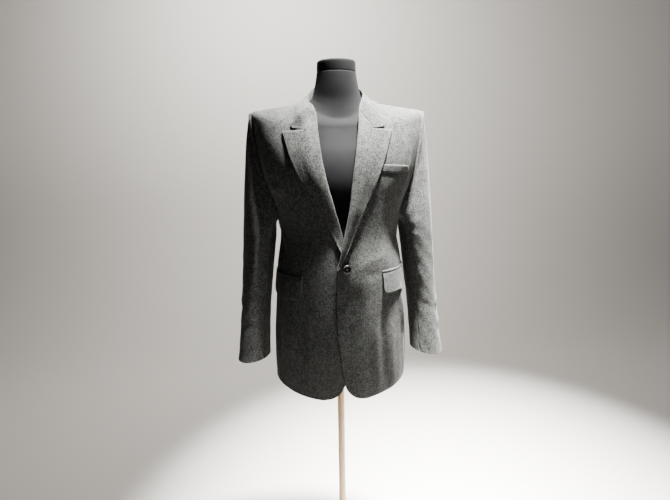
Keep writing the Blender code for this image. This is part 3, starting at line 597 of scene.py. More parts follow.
# roll line and collar crease, x, y and z, from the break to the centre back
ROLL = {
    1: np.array([
        (-0.0168, -0.1320, 1.004), (-0.0078, -0.1310, 1.040), (0.0000, -0.1290, 1.082),
        (0.0130, -0.1280, 1.148), (0.0217, -0.1250, 1.210), (0.0303, -0.1170, 1.264),
        (0.0370, -0.1030, 1.312), (0.0434, -0.0870, 1.352), (0.0490, -0.0680, 1.383),
        (0.0575, -0.0340, 1.410), (0.0635, -0.0020, 1.429), (0.0540, 0.0320, 1.446),
        (0.0300, 0.0490, 1.453), (0.0000, 0.0540, 1.455),
    ]),
    -1: np.array([
        (-0.0235, -0.1320, 1.004), (-0.0120, -0.1310, 1.040), (0.0000, -0.1290, 1.082),
        (0.0165, -0.1280, 1.148), (0.0325, -0.1250, 1.210), (0.0435, -0.1170, 1.264),
        (0.0490, -0.1030, 1.312), (0.0525, -0.0870, 1.352), (0.0570, -0.0665, 1.382),
        (0.0675, -0.0360, 1.3990), (0.0755, -0.0040, 1.4110), (0.0560, 0.0320, 1.4445),
        (0.0300, 0.0490, 1.453), (0.0000, 0.0540, 1.455),
    ]),
}
ROLL_TOP = 8              # row of ROLL at the gorge, where the lapel ends and the collar begins
NECK_EDGE = np.array([(33.0, 0.824), (52.0, 0.847), (71.0, 0.8535), (90.0, 0.855)])
# seams, phi in degrees and t
SIDE_FRONT = np.array([(66.0, 0.0), (66.0, 0.22), (67.0, 0.42), (69.0, 0.462)])
SIDE_BACK = np.array([(113.0, 0.0), (112.0, 0.22), (112.0, 0.42), (113.0, 0.462)])
ARM_FRONT = np.array([
    (69.0, 0.462), (68.5, 0.490), (70.0, 0.545), (72.5, 0.605), (74.0, 0.655), (77.0, 0.692),
    (83.0, 0.7105), (90.0, 0.715),
])
SIDE_SHARE = 12 / 19      # share of a front's or back's outer edge that is side seam


def degrees_first(rows):
    return rows * np.array([math.pi / 180, 1.0])


def seam_then_armhole(seam, armhole, v):
    low = along(seam, v / SIDE_SHARE)
    high = along(armhole, (v - SIDE_SHARE) / (1 - SIDE_SHARE))
    return degrees_first(np.where((v <= SIDE_SHARE)[..., None], low, high))


def front_inner(side):
    """Front edge, roll line and neck edge of one front."""
    corner = np.stack(front_point(*FRONT_CORNER[side].T), axis=-1)
    corner[0, 1] = 0.0
    roll_on_body = np.stack(front_point(*ROLL[side][1:ROLL_TOP, ::2].T), axis=-1)
    return np.concatenate([corner, roll_on_body, degrees_first(NECK_EDGE)])


BREAK_SHARE = 11 / 22     # share of a front's inner line that lies below the break
LAPEL_CLEAR = 0.035       # share of a front's width kept back from the roll line under the lapel


def front_place(side, lift):
    inner_line = front_inner(side)

    def place(u, v):
        inside = along(inner_line, v)
        outside = seam_then_armhole(SIDE_FRONT, ARM_FRONT, v)
        clear = LAPEL_CLEAR * ease(v, BREAK_SHARE, BREAK_SHARE + 0.06)
        share = (clear + (1 - clear) * u)[..., None]
        phi, t = columns_of(inside + (outside - inside) * share)
        return body(side * phi, t, lift(phi, t))
    return place


def no_lift(phi, t):
    return np.zeros(np.shape(phi))


def melange_group():
    """Flecks of two wools at three sizes, and the height of the nap."""
    group = bpy.data.node_groups.new("melange", "ShaderNodeTree")
    for name, way, kind in (
        ("Vector", "INPUT", "Vector"), ("Dark", "INPUT", "Color"), ("Light", "INPUT", "Color"),
        ("Colour", "OUTPUT", "Color"), ("Nap", "OUTPUT", "Float"),
    ):
        group.interface.new_socket(name, in_out=way, socket_type="NodeSocket" + kind)
    given = group.nodes.new("NodeGroupInput").outputs
    upright = new_node(group, "Mapping", {"Vector": given["Vector"], "Scale": (1.0, 1.0, 0.8)})
    vector = upright.outputs["Vector"]
    total = 0.0
    for scale, roughness, weight in ((950.0, 0.6, 0.40), (540.0, 0.55, 0.47), (110.0, 0.5, 0.13)):
        flecks = value_noise(group, vector, scale, 2.0, roughness)
        part = new_node(group, "Math", {0: flecks, 1: weight, 2: total})
        part.operation = "MULTIPLY_ADD"
        total = part.outputs["Value"]
    spread = new_node(group, "MapRange", {"Value": total, "From Min": 0.43, "From Max": 0.58})
    colours = group.nodes.new("ShaderNodeMix")
    colours.data_type = "RGBA"
    fill_in(group, colours, {0: spread.outputs["Result"], 6: given["Dark"], 7: given["Light"]})
    fill_in(group, group.nodes.new("NodeGroupOutput"), {
        "Colour": colours.outputs[2], "Nap": value_noise(group, vector, 1100.0, 3.0, 0.65),
    })
    return group


def flannel(name, dark, light):
    """Charcoal melange flannel: dark and pale wool mixed in the yarn under a soft raised nap."""
    made = plain_material(
        name, light, 0.93, Sheen_Weight=0.06, Sheen_Roughness=0.55,
        Sheen_Tint=(0.93, 0.94, 0.92, 1.0), Specular_IOR_Level=0.08,
    )
    tree = made.node_tree
    mixed = tree.nodes.new("ShaderNodeGroup")
    mixed.node_tree = melange_group()
    fill_in(tree, mixed, {
        "Dark": (*dark, 1.0), "Light": (*light, 1.0),
        "Vector": tree.nodes.new("ShaderNodeTexCoord").outputs["Object"],
    })
    return finished(made, mixed.outputs["Colour"], mixed.outputs["Nap"], 0.55, 0.0006)


charcoal = flannel("charcoal flannel", (0.006, 0.0063, 0.006), (0.078, 0.080, 0.0772))


def cell_shares(length, cell, close=(0.0006, 0.0018, 0.0050)):
    """Shares of a length, one cell apart and closer near both ends."""
    near = np.array((0.0,) + close) / length
    count = max(round((length - 2 * close[-1]) / cell), 1)
    return np.concatenate([near[:-1], np.linspace(near[-1], 1 - near[-1], count + 1), 1 - near[-2::-1]])


def out_of(points, side):
    """The way out of the cloth's right side; side is -1 on the wearer's right."""
    return side * unit(np.cross(np.gradient(points, axis=1), np.gradient(points, axis=0)))


# height, half width and distance from the edge: a pressed seam's ditch, the ridge that the turnings
# under it make, and the roll of a turned edge
SEAM_DITCH = (-0.0009, 0.0018)
SEAM_RIDGE = (0.0003, 0.0030, 0.0055)
EDGE_ROLL = (0.0003, 0.0020, 0.0020)


def cloth(
    node, points, thick=FLANNEL_THICK, seams=(), edges=(), side=1, relief=None, name=None,
):
    """One cut piece in a CAD node's place: points[row, column] on its right side, its seamed sides
    drawn in and its free sides turned over, with relief(distances) as more height."""
    away = from_edges(points)
    height = np.zeros(points.shape[:2])
    for edge in seams:
        height += swell(away[edge], *SEAM_DITCH) + swell(away[edge], *SEAM_RIDGE)
    for edge in edges:
        height += swell(away[edge], *EDGE_ROLL)
    if relief is not None:
        height += relief(away)
    points = points + out_of(points, side) * height[..., None]
    step_u = unit(np.gradient(points, axis=1))
    step_v = unit(np.gradient(points, axis=0))
    points[:, 0] += SEAM_GAP * step_u[:, 0]
    points[:, -1] -= SEAM_GAP * step_u[:, -1]
    points[0] += SEAM_GAP * step_v[0]
    points[-1] -= SEAM_GAP * step_v[-1]
    bm = mapped_grid(points)
    if side < 0:
        bmesh.ops.reverse_faces(bm, faces=bm.faces[:])
    area = sum(face.calc_area() for face in bm.faces)
    piece = made_object(name or node + "_cloth", bm, charcoal)
    shell = piece.modifiers.new("thickness", "SOLIDIFY")
    shell.thickness = thick
    shell.offset = -1.0
    subdivided(piece)
    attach(piece, "root")
    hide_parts(node)


CELL = 0.0075             # side of a cell of the large pieces' grids
front_u, front_v = np.meshgrid(cell_shares(0.19, CELL), cell_shares(0.76, CELL))
FRONTS = ((1, "left", left_lift), (-1, "right", no_lift))
for side, word, lift in FRONTS:
    cloth(
        "front_" + word, front_place(side, lift)(front_u, front_v),
        seams=("right", "high"), edges=("left", "low"), side=side,
    )

# ---------------------------------------------------------------- side bodies and backs
# A side body under each arm and two backs joined down the centre, in the same flannel. The backs
# run up to the shoulder seams and the neck, and have no vent.
ARM_BACK = np.array([
    (113.0, 0.462), (114.0, 0.490), (112.5, 0.545), (109.5, 0.605), (107.0, 0.655), (103.5, 0.692),
    (97.0, 0.7105), (90.0, 0.715),
])
ARM_SIDE = np.array([(69.0, 0.462), (80.0, 0.4485), (91.0, 0.4455), (102.0, 0.4485), (113.0, 0.462)])
BACK_NECK_SHARE = 3 / 8   # share of a back's top that is neck seam
SHOULDER_RUN = 0.140      # t from the shoulder tip to the neck seam


def side_place(side):
    def place(u, v):
        low = along(SIDE_FRONT, v)
        high = along(SIDE_BACK, v)
        top = along(ARM_SIDE, u)
        ends = ARM_SIDE[0] + (ARM_SIDE[-1] - ARM_SIDE[0]) * u[..., None]
        flat = low + (high - low) * u[..., None] + (top - ends) * v[..., None] ** 3
        phi, t = columns_of(degrees_first(flat))
        return body(side * phi, t)
    return place


def back_place(side):
    def place(u, v):
        inside = np.stack([np.full(v.shape, math.pi), NECK_SEAM * (v * 0.9 + 0.1 * v * v)], axis=-1)
        outside = seam_then_armhole(SIDE_BACK, ARM_BACK, v)
        straight = inside + (outside - inside) * u[..., None]
        round_neck = math.pi - math.pi / 2 * u / BACK_NECK_SHARE
        on_neck = np.stack([round_neck, np.full(u.shape, NECK_SEAM)], axis=-1)
        share = (u - BACK_NECK_SHARE) / (1 - BACK_NECK_SHARE)
        on_shoulder = np.stack([np.full(u.shape, math.pi / 2), NECK_SEAM - SHOULDER_RUN * share], axis=-1)
        top = np.where((u <= BACK_NECK_SHARE)[..., None], on_neck, on_shoulder)
        first = np.array([math.pi, NECK_SEAM])
        last = np.array([math.pi / 2, SHOULDER_TIP])
        ends = first + (last - first) * u[..., None]
        phi, t = columns_of(straight + (top - ends) * ease(v, 0.68, 1.0)[..., None])
        return body(side * phi, t)
    return place


side_u, side_v = np.meshgrid(cell_shares(0.13, CELL), cell_shares(0.46, CELL))
back_u, back_v = np.meshgrid(cell_shares(0.24, CELL), cell_shares(0.76, CELL))
SIDES = ((1, "left"), (-1, "right"))
for side, word in SIDES:
    cloth(
        "side_" + word, side_place(side)(side_u, side_v), seams=("left", "right", "high"),
        edges=("low",), side=side,
    )
    # back_place runs from the centre back outwards, so its right side is the other way round
    cloth(
        "back_" + word, back_place(side)(back_u, back_v), seams=("left", "right", "high"),
        edges=("low",), side=-side,
    )

# ---------------------------------------------------------------- sleeves
# Two-piece flannel sleeves, a wide top sleeve and a narrow under sleeve, set in with a roped head:
# the sleeve stands up in a soft rounded ridge beside the shoulder seam.

# Angle 0 is at the shoulder tip, 90 in front and 180 under the arm; v runs from the armhole (0) to
# the cuff (1). Each ring below the head: z, x and y of its middle, half width, half depth, slant.
SLEEVE = np.array([
    (0.7480, 0.2360, -0.031, 0.0432, 0.0500, 0.26),
    (0.8100, 0.2315, -0.019, 0.0405, 0.0545, 0.10),
    (0.8900, 0.2255, -0.006, 0.0393, 0.0600, 0.00),
    (0.9800, 0.2165, 0.002, 0.0413, 0.0650, 0.00),
    (1.0700, 0.2075, 0.006, 0.0440, 0.0680, 0.00),
])
FRONT_ANGLE, BACK_ANGLE = 130.0, 230.0
UNDER_FROM, UNDER_TO = FRONT_ANGLE, BACK_ANGLE + 130.0 / 7
CAP_SHARE = 7 / 18        # share of a sleeve's length that is its head
SLEEVE_RUN = 0.58         # metres from armhole to cuff
SLEEVE_GIRTH = 0.00096    # metres round the sleeve per degree
SLEEVE_OFF = 0.0007       # gap at the armhole seam
HEAD_PULL, UNDER_PULL = 0.056, 0.030      # how far the cloth runs on at the seam before it turns down
# soft folds of each sleeve: angle and metres from the armhole of both ends, half width, height
SLEEVE_FOLDS = {
    1: np.array([
        (45.0, 0.150, 44.0, 0.360, 0.0060, 0.0026),
        (70.0, 0.170, 76.0, 0.330, 0.0130, -0.0020),
        (10.0, 0.440, 48.0, 0.462, 0.0065, -0.0032),
        (14.0, 0.420, 55.0, 0.436, 0.0065, 0.0022),
        (8.0, 0.480, 44.0, 0.498, 0.0065, 0.0024),
        (12.0, 0.512, 50.0, 0.520, 0.0070, -0.0018),
        (100.0, 0.420, 62.0, 0.450, 0.0080, -0.0018),
        (120.0, 0.200, 108.0, 0.380, 0.0110, 0.0018),
        (-30.0, 0.150, -36.0, 0.330, 0.0110, -0.0022),
        (-60.0, 0.300, -30.0, 0.400, 0.0090, 0.0022),
        (-90.0, 0.060, -60.0, 0.200, 0.0100, 0.0022),
        (200.0, 0.180, 190.0, 0.340, 0.0120, -0.0022),
    ]),
    -1: np.array([
        (86.0, 0.130, 82.0, 0.370, 0.0080, 0.0024),
        (60.0, 0.150, 58.0, 0.330, 0.0110, -0.0022),
        (108.0, 0.170, 104.0, 0.340, 0.0100, -0.0018),
        (-5.0, 0.430, 50.0, 0.446, 0.0060, -0.0030),
        (-8.0, 0.408, 44.0, 0.420, 0.0070, 0.0020),
        (10.0, 0.470, 62.0, 0.480, 0.0070, 0.0018),
        (40.0, 0.490, 86.0, 0.470, 0.0080, -0.0016),
        (-40.0, 0.160, -34.0, 0.320, 0.0110, -0.0020),
        (-70.0, 0.290, -38.0, 0.390, 0.0090, 0.0022),
        (-95.0, 0.070, -66.0, 0.210, 0.0100, 0.0020),
        (196.0, 0.160, 188.0, 0.350, 0.0120, -0.0020),
    ]),
}
# height, half width and metres from the seam of the rope along the sleeve head, and the ditch at
# its seam
HEAD_ROPE = {1: (0.0042, 0.0052, 0.0064), -1: (0.0028, 0.0052, 0.0064)}
HEAD_DITCH = (-0.0022, 0.0022)
PUCKER_HALF, PUCKER_LONG = 0.0050, 0.020
# puckers of the eased sleeve head: angle, metres from the seam, height
HEAD_PUCKERS = {
    1: ((2.0, 0.030, 0.0012), (17.0, 0.036, -0.0013), (31.0, 0.044, 0.0012), (44.0, 0.052, -0.0011),
        (58.0, 0.048, 0.0009), (-16.0, 0.034, -0.0010), (-32.0, 0.040, 0.0010)),
    -1: ((6.0, 0.032, -0.0010), (24.0, 0.040, 0.0010), (42.0, 0.046, -0.0010), (60.0, 0.044, 0.0008),
         (-14.0, 0.032, 0.0010), (-30.0, 0.038, -0.0010)),
}


def arm_domain(angle):
    """phi and t of the armhole seam at this angle."""
    front = along(ARM_FRONT, 1 - angle / FRONT_ANGLE)
    below = along(ARM_SIDE, (angle - FRONT_ANGLE) / (BACK_ANGLE - FRONT_ANGLE))
    back = along(ARM_BACK, (angle - BACK_ANGLE) / (360 - BACK_ANGLE))
    rows = np.where((angle <= FRONT_ANGLE)[..., None], front, back)
    rows = np.where(((angle > FRONT_ANGLE) & (angle <= BACK_ANGLE))[..., None], below, rows)
    return columns_of(degrees_first(rows))


def on_armhole(angle, side):
    phi, t = arm_domain(angle % 360)
    return body(side * phi, t)


def sleeve_ring(angle, z, side):
    x, y, wide, deep, slant = columns_of(by_first(SLEEVE, z))
    px = wide * np.cos(np.radians(angle))
    py = -deep * np.sin(np.radians(angle))
    return np.stack([side * (x + px), y + py, z - slant * (0.6 * px + 0.1 * py)], axis=-1)


def sleeve_point(angle, v, side):
    top = SLEEVE[-1, 0]
    bottom = SLEEVE[0, 0]
    here = on_armhole(angle, side)
    phi, t = arm_domain(angle % 360)
    normal = body_normal(side * phi, t)
    tangent = unit(on_armhole(angle + 0.5, side) - on_armhole(angle - 0.5, side))
    away = side * unit(np.cross(normal, tangent))
    under = ((1 - np.cos(np.radians(angle))) / 2)[..., None]
    rise = np.radians(30 + 60 * ease(under, 0.25, 0.95))
    way = np.cos(rise) * away + np.sin(rise) * normal
    way = unit(way + np.array([0.0, 0.0, 0.95]) * np.maximum(1 - under * 3.2, 0.0))
    start = here + way * SLEEVE_OFF
    end = sleeve_ring(angle, np.full(angle.shape, top), side)
    down = unit(sleeve_ring(angle, np.full(angle.shape, top - 0.01), side) - end)
    gap = np.linalg.norm(end - start, axis=-1, keepdims=True)
    strong = HEAD_PULL * (1 - under) + UNDER_PULL * under
    share = np.clip(v / CAP_SHARE, 0, 1)[..., None]
    head = hermite(start, way * strong, end, down * gap * (0.95 - 0.25 * under), share)
    fall = np.clip((v - CAP_SHARE) / (1 - CAP_SHARE), 0, 1)
    tube = sleeve_ring(angle, top + (bottom - top) * fall, side)
    return np.where((v < CAP_SHARE)[..., None], head, tube)


def sleeve_cloth(side, word, part, first, last, width):
    u, v = np.meshgrid(cell_shares(width, CELL), cell_shares(SLEEVE_RUN, CELL))
    angle = first + (last - first) * u
    points = sleeve_point(angle, v, side)
    turn = (angle + 120) % 360 - 120
    soft = folded(SLEEVE_FOLDS[side], turn, v * SLEEVE_RUN, SLEEVE_GIRTH)
    around = 1 - ease(np.abs((angle + 180) % 360 - 180), 55.0, 95.0)

    def relief(away):
        from_seam = away["low"]
        rope = swell(from_seam, *HEAD_ROPE[side]) * around
        ditch = swell(from_seam, *HEAD_DITCH) * around
        puckers = np.zeros(angle.shape)
        for at, run, high in HEAD_PUCKERS[side]:
            sideways = ((angle - at + 180) % 360 - 180) * SLEEVE_GIRTH
            puckers += high * np.exp(
                -((sideways / PUCKER_HALF) ** 2) - (((from_seam - run) / PUCKER_LONG) ** 2)
            )
        return soft + rope + ditch + puckers + 0.0003 * np.sin(0.13 * angle + 60 * v)
    cloth(
        "sleeve_" + part + "_" + word, points, seams=("left", "right"), edges=("high",), side=side,
        relief=relief,
    )


for side, word in SIDES:
    sleeve_cloth(side, word, "top", UNDER_TO, 360 + UNDER_FROM, 0.25)
    sleeve_cloth(side, word, "under", UNDER_FROM, UNDER_TO, 0.11)

# ---------------------------------------------------------------- lapels
# Wide peak lapels: each facing rolls over the roll line in a soft round fold and lies on the front up
# to its peak. Just above the break the wearer's right lapel goes under the left front.

# front view of the free edge, from the break to the peak
LAPEL_EDGE = {
    1: np.array([
        (-0.0120, 1.004), (-0.0032, 1.022), (0.0153, 1.060), (0.0357, 1.110), (0.0547, 1.156),
        (0.0790, 1.2055), (0.1023, 1.263), (0.1140, 1.301), (0.1252, 1.3335),
    ]),
    -1: np.array([
        (-0.0185, 1.004), (-0.0060, 1.022), (0.0115, 1.060), (0.0376, 1.110), (0.0624, 1.156),
        (0.0896, 1.2055), (0.1158, 1.263), (0.1270, 1.301), (0.1360, 1.3320),
    ]),
}
# where the collar ends on the lapel's upper edge
NOTCH = {1: np.array([0.0773, 1.3328]), -1: np.array([0.0872, 1.3320])}
NOTCH_SHARE = 0.40        # share of the lapel's end that is sewn to the collar
ROLL_SHARE = 0.16         # share of the lapel's columns that go round the roll
LAPEL_THICK = 0.0019
LAPEL_CELL = 0.004
# how far the face lies off the body, how much less at the roll and the free edge, and more between
LAPEL_OFF, ROLL_LESS, EDGE_LESS, LAPEL_BELLY = 0.0064, 0.0010, 0.0022, 0.0020
# how far it lies off at the break, and between which shares of its length it comes up from there
BREAK_OFF = {1: 0.0032, -1: 0.0021}
LAPEL_RISE = {1: (0.0, 0.25), -1: (0.28, 0.52)}
# radius of the roll at the break and above, how much less at the gorge, and where it opens
ROLL_RADIUS = {1: (0.0019, 0.0038), -1: (0.0011, 0.0038)}
GORGE_LESS = 0.0012
ROLL_OPENS = {1: (0.0, 0.30), -1: (0.28, 0.52)}
GORGE_DITCH = (-0.0022, 0.0018)
PEAK_PRESSED = (-0.0018, 0.0022)


def on_front(side, x, z, out):
    phi, t = front_point(x, z)
    return body(side * phi, t, out)


def lapel_flat(side, lift):
    """The lapel's upper face: u from the roll line to the free edge, v from the break to the gorge."""
    start = ROLL[side][ROLL_TOP, ::2]
    notch = NOTCH[side]
    peak = LAPEL_EDGE[side][-1]

    def place(u, v):
        roll = along(ROLL[side][: ROLL_TOP + 1], v)
        edge = along(LAPEL_EDGE[side], v)
        share = u[..., None]
        to_notch = start + (notch - start) * share / NOTCH_SHARE
        to_peak = notch + (peak - notch) * (share - NOTCH_SHARE) / (1 - NOTCH_SHARE)
        top = np.where(share < NOTCH_SHARE, to_notch, to_peak)
        flat = roll[..., ::2] * (1 - share) + edge * share
        flat = flat + (top - (start * (1 - share) + peak * share)) * ease(v, 0.55, 1.0)[..., None]
        phi, t = front_point(*columns_of(flat))
        belly = LAPEL_BELLY * np.sin(math.pi * np.minimum(u * 1.4, 1.0))
        less = ROLL_LESS * (1 - ease(u, 0.0, 0.15)) + EDGE_LESS * ease(u, 0.50, 1.0)
        high = LAPEL_OFF + belly - less
        low = BREAK_OFF[side]
        point = body(side * phi, t, low + (high - low) * ease(v, *LAPEL_RISE[side]) + lift(phi, t))
        blend = ((1 - ease(u, 0.0, 0.35)) * ease(v, 0.80, 1.0))[..., None]
        held = np.stack([side * flat[..., 0], roll[..., 1], flat[..., 1]], axis=-1)
        return point * (1 - blend) + held * blend
    return place


def lapel_place(side, lift):
    """The same with its roll: below ROLL_SHARE the columns go round a small tube at the roll line."""
    flat = lapel_flat(side, lift)

    def place(c, v):
        e = 1e-3
        zero = np.zeros(v.shape)
        width = np.linalg.norm(flat(zero + 1.0, v) - flat(zero, v), axis=-1)
        tight, open_roll = ROLL_RADIUS[side]
        radius = tight + (open_roll - tight) * ease(v, *ROLL_OPENS[side]) - GORGE_LESS * ease(v, 0.80, 1.0)
        first = np.clip(radius / width, 0.0, 0.45)
        share = np.clip((c - ROLL_SHARE) / (1 - ROLL_SHARE), 0.0, 1.0)
        upper = flat(first + (1 - first) * share, v)
        edge = flat(first, v)
        across = unit(flat(first + 0.02, v) - edge)
        up = unit(flat(first, np.minimum(v + e, 1.0)) - flat(first, np.maximum(v - e, 0.0)))
        normal = side * unit(np.cross(across, up))
        angle = (math.pi * (1.5 - np.clip(c / ROLL_SHARE, 0.0, 1.0)))[..., None]
        r = radius[..., None]
        round_roll = edge + normal * r * (np.sin(angle) - 1) + across * r * np.cos(angle)
        return np.where((c < ROLL_SHARE)[..., None], round_roll, upper)
    return place


def lapel_columns(width, cell):
    """Even steps round the roll, then cells over the face, closer at the free edge."""
    face = cell_shares(width, cell)
    return np.concatenate([np.linspace(0, ROLL_SHARE, 8)[:-1], ROLL_SHARE + (1 - ROLL_SHARE) * face])


for side, word, lift in FRONTS:
    columns, rows = np.meshgrid(lapel_columns(0.080, LAPEL_CELL), cell_shares(0.35, LAPEL_CELL))
    sewn = columns < ROLL_SHARE + (1 - ROLL_SHARE) * NOTCH_SHARE * 0.985

    def gorge(away, sewn=sewn):
        return np.where(sewn, swell(away["high"], *GORGE_DITCH), swell(away["high"], *PEAK_PRESSED))
    cloth(
        "lapel_" + word, lapel_place(side, lift)(columns, rows), LAPEL_THICK, edges=("right",),
        side=side, relief=gorge,
    )

# ---------------------------------------------------------------- collar
# One folded piece: the stand rises from the neck seam to the crease and the fall turns over it and
# lies on the shoulders. Its ends are sewn to the lapels up to the notches.

# the fall's free edge: front view beside the neck, from its tip on, then phi in degrees and t
COLLAR_FRONT_EDGE = {
    1: np.array([(0.1062, 1.3383), (0.1030, 1.3560), (0.0995, 1.3740), (0.0955, 1.3890)]),
    -1: np.array([(0.1155, 1.3372), (0.1125, 1.3560), (0.1090, 1.3740), (0.1062, 1.3890)]),
}
COLLAR_BACK_EDGE = np.array([(88.0, 0.829), (108.0, 0.820), (130.0, 0.810), (155.0, 0.803), (180.0, 0.800)])
# phi in degrees of the stand's seam on the neck, from the gorge to the centre back
STAND_SEAM = {
    1: np.array([[48.0], [74.4], [100.8], [127.2], [153.6], [180.0]]),
    -1: np.array([[38.0], [58.0], [87.0], [125.0], [152.0], [180.0]]),
}
# from the gorge (0) to the centre back (1), how far the fall bulges over the chest and then sinks
# beside and behind the neck, and the power that shifts this towards its edge
FALL_CURVE = {
    1: np.array([
        (0.00, 0.0060, 1.0), (0.22, 0.0060, 1.0), (0.42, -0.0058, 1.6), (0.55, -0.0062, 1.4),
        (0.75, -0.0036, 1.6), (1.00, -0.0020, 1.5),
    ]),
    -1: np.array([
        (0.00, 0.0142, 1.0), (0.22, 0.0142, 1.0), (0.30, 0.0087, 1.2), (0.36, 0.0024, 1.4),
        (0.42, -0.0014, 1.6), (0.52, -0.0056, 1.4), (0.75, -0.0040, 1.6), (1.00, -0.0020, 1.5),
    ]),
}
COLLAR_FOLD = 1 / 3
CREASE_HALF = 0.08        # half of the share of the collar's width that the rounded crease takes
FALL_OFF, FALL_OFF_GORGE = 0.0062, 0.0038      # how far its edge lies off the body surface
STAND_IN, STAND_UP = 0.0050, 0.0010
STAND_AT_GORGE = np.array([-0.0020, 0.0048, -0.0056])      # from the crease to the stand's short end
LAPEL_SEWN = 0.50         # share of the fall's end that is sewn to the lapel
END_TURNING = 0.06        # share of the fall's end that still goes round the roll
LAPEL_END_ROLL = 0.0026   # radius of the lapel's roll at the gorge, and the lapel's width there
LAPEL_END_WIDTH = {1: 0.0985, -1: 0.100}
EDGE_PRESSED = (-0.0024, 0.0024)


def collar_flat(side, s, w):
    """s from the gorge (0) to the centre back (1), w from the stand's seam to the free edge."""
    crease = along(ROLL[side][ROLL_TOP:], s)
    edges = np.concatenate([
        np.stack(front_point(*COLLAR_FRONT_EDGE[side].T), axis=-1), degrees_first(COLLAR_BACK_EDGE),
    ])
    phi_edge, t_edge = columns_of(along(edges, s))
    edge = bare_body(phi_edge, t_edge)
    normal = body_normal(phi_edge, t_edge)
    off_edge = FALL_OFF - (FALL_OFF - FALL_OFF_GORGE) * (1 - ease(s, 0.1, 0.4))
    edge = edge + normal * off_edge[..., None]
    r = np.clip((w - COLLAR_FOLD) / (1 - COLLAR_FOLD), 0.0, 1.0)
    off, power = columns_of(by_first(FALL_CURVE[side], s))
    curve = np.sin(math.pi * r**power) * ease(s, 0.0, 0.15)
    fall = crease + (edge - crease) * r[..., None] + normal * (off * curve)[..., None]
    seam = np.radians(along(STAND_SEAM[side], s)[..., 0])
    base = bare_body(seam, np.full(s.shape, NECK_SEAM)) + np.stack([
        -STAND_IN * np.sin(seam), STAND_IN * np.cos(seam), np.full(s.shape, STAND_UP),
    ], axis=-1)
    short = crease + STAND_AT_GORGE
    base = short + (base - short) * ease(s, 0.0, 0.3)[..., None]
    stand = crease + (base - crease) * np.clip(1 - w / COLLAR_FOLD, 0.0, 1.0)[..., None]
    return np.where((w >= COLLAR_FOLD)[..., None], fall, stand)


def collar_half(side, s, w):
    """The same with a rounded crease, and its end laid along the lapel's end."""
    def rounded(s, w):
        k = np.clip((w - COLLAR_FOLD + CREASE_HALF) / (2 * CREASE_HALF), 0.0, 1.0)[..., None]
        low = collar_flat(side, s, np.full(w.shape, COLLAR_FOLD - CREASE_HALF))
        top = collar_flat(side, s, np.full(w.shape, COLLAR_FOLD))
        high = collar_flat(side, s, np.full(w.shape, COLLAR_FOLD + CREASE_HALF))
        bent = (1 - k) ** 2 * low + 2 * k * (1 - k) * top + k * k * high
        near = (np.abs(w - COLLAR_FOLD) < CREASE_HALF)[..., None]
        return np.where(near, bent, collar_flat(side, s, w)) * np.array([side, 1.0, 1.0])

    lapel = lapel_place(side, no_lift)
    one = np.ones(w.shape)
    r = np.clip((w - COLLAR_FOLD) / (1 - COLLAR_FOLD), 0.0, 1.0)
    on_roll = ROLL_SHARE / 2 * np.clip(w / COLLAR_FOLD, 0.0, 1.0)
    on_roll = on_roll + ROLL_SHARE / 2 * np.clip(r / END_TURNING, 0.0, 1.0)
    first = LAPEL_END_ROLL / LAPEL_END_WIDTH[side]
    sewn_to = ROLL_SHARE + (1 - ROLL_SHARE) * (NOTCH_SHARE - first) / (1 - first)
    past_roll = np.clip((r - END_TURNING) / (LAPEL_SEWN - END_TURNING), 0.0, 1.0)
    column = np.where(r < END_TURNING, on_roll, ROLL_SHARE + (sewn_to - ROLL_SHARE) * past_roll)
    end = lapel(column, one)
    notch = lapel(np.full(w.shape, sewn_to), one)
    tip = on_front(side, *COLLAR_FRONT_EDGE[side][0], FALL_OFF_GORGE)
    free = notch + (tip - notch) * ((r - LAPEL_SEWN) / (1 - LAPEL_SEWN))[..., None]
    end = np.where((r > LAPEL_SEWN)[..., None], free, end)
    shift = (end - rounded(np.zeros(w.shape), w)) * (1 - ease(s, 0.0, 0.35))[..., None]
    return rounded(s, w) + shift


collar_u, collar_w = np.meshgrid(cell_shares(0.42, LAPEL_CELL), cell_shares(0.095, LAPEL_CELL))
right_half = collar_half(-1, np.minimum(2 * collar_u, 1.0), collar_w)
left_half = collar_half(1, np.minimum(2 * (1 - collar_u), 1.0), collar_w)
collar_points = np.where((collar_u < 0.5)[..., None], right_half, left_half)
sewn_rows = collar_w < COLLAR_FOLD + (1 - COLLAR_FOLD) * LAPEL_SEWN * 0.985


def collar_relief(away):
    ends = np.minimum(away["left"], away["right"])
    at_ends = np.where(sewn_rows, swell(ends, *GORGE_DITCH), swell(ends, *EDGE_ROLL))
    return at_ends + swell(away["high"], *EDGE_PRESSED)


cloth("collar", collar_points, LAPEL_THICK, seams=("low",), edges=("high",), relief=collar_relief)

# ---------------------------------------------------------------- hip pockets
# On each side a narrow jet over a flap with rounded lower corners. The flap lies on the front and
# runs on over the side body; its front corner stands off a little.
POCKET_TOP = {1: 0.9885, -1: 0.9795}      # z of the flap's sewn edge
FLAP_HEIGHT = 0.055
FLAP_WIDTH = 0.145        # the length that its corners are worked out for
FLAP_CORNER = 0.016       # radius of its lower corners
JET_THICK = 0.0005
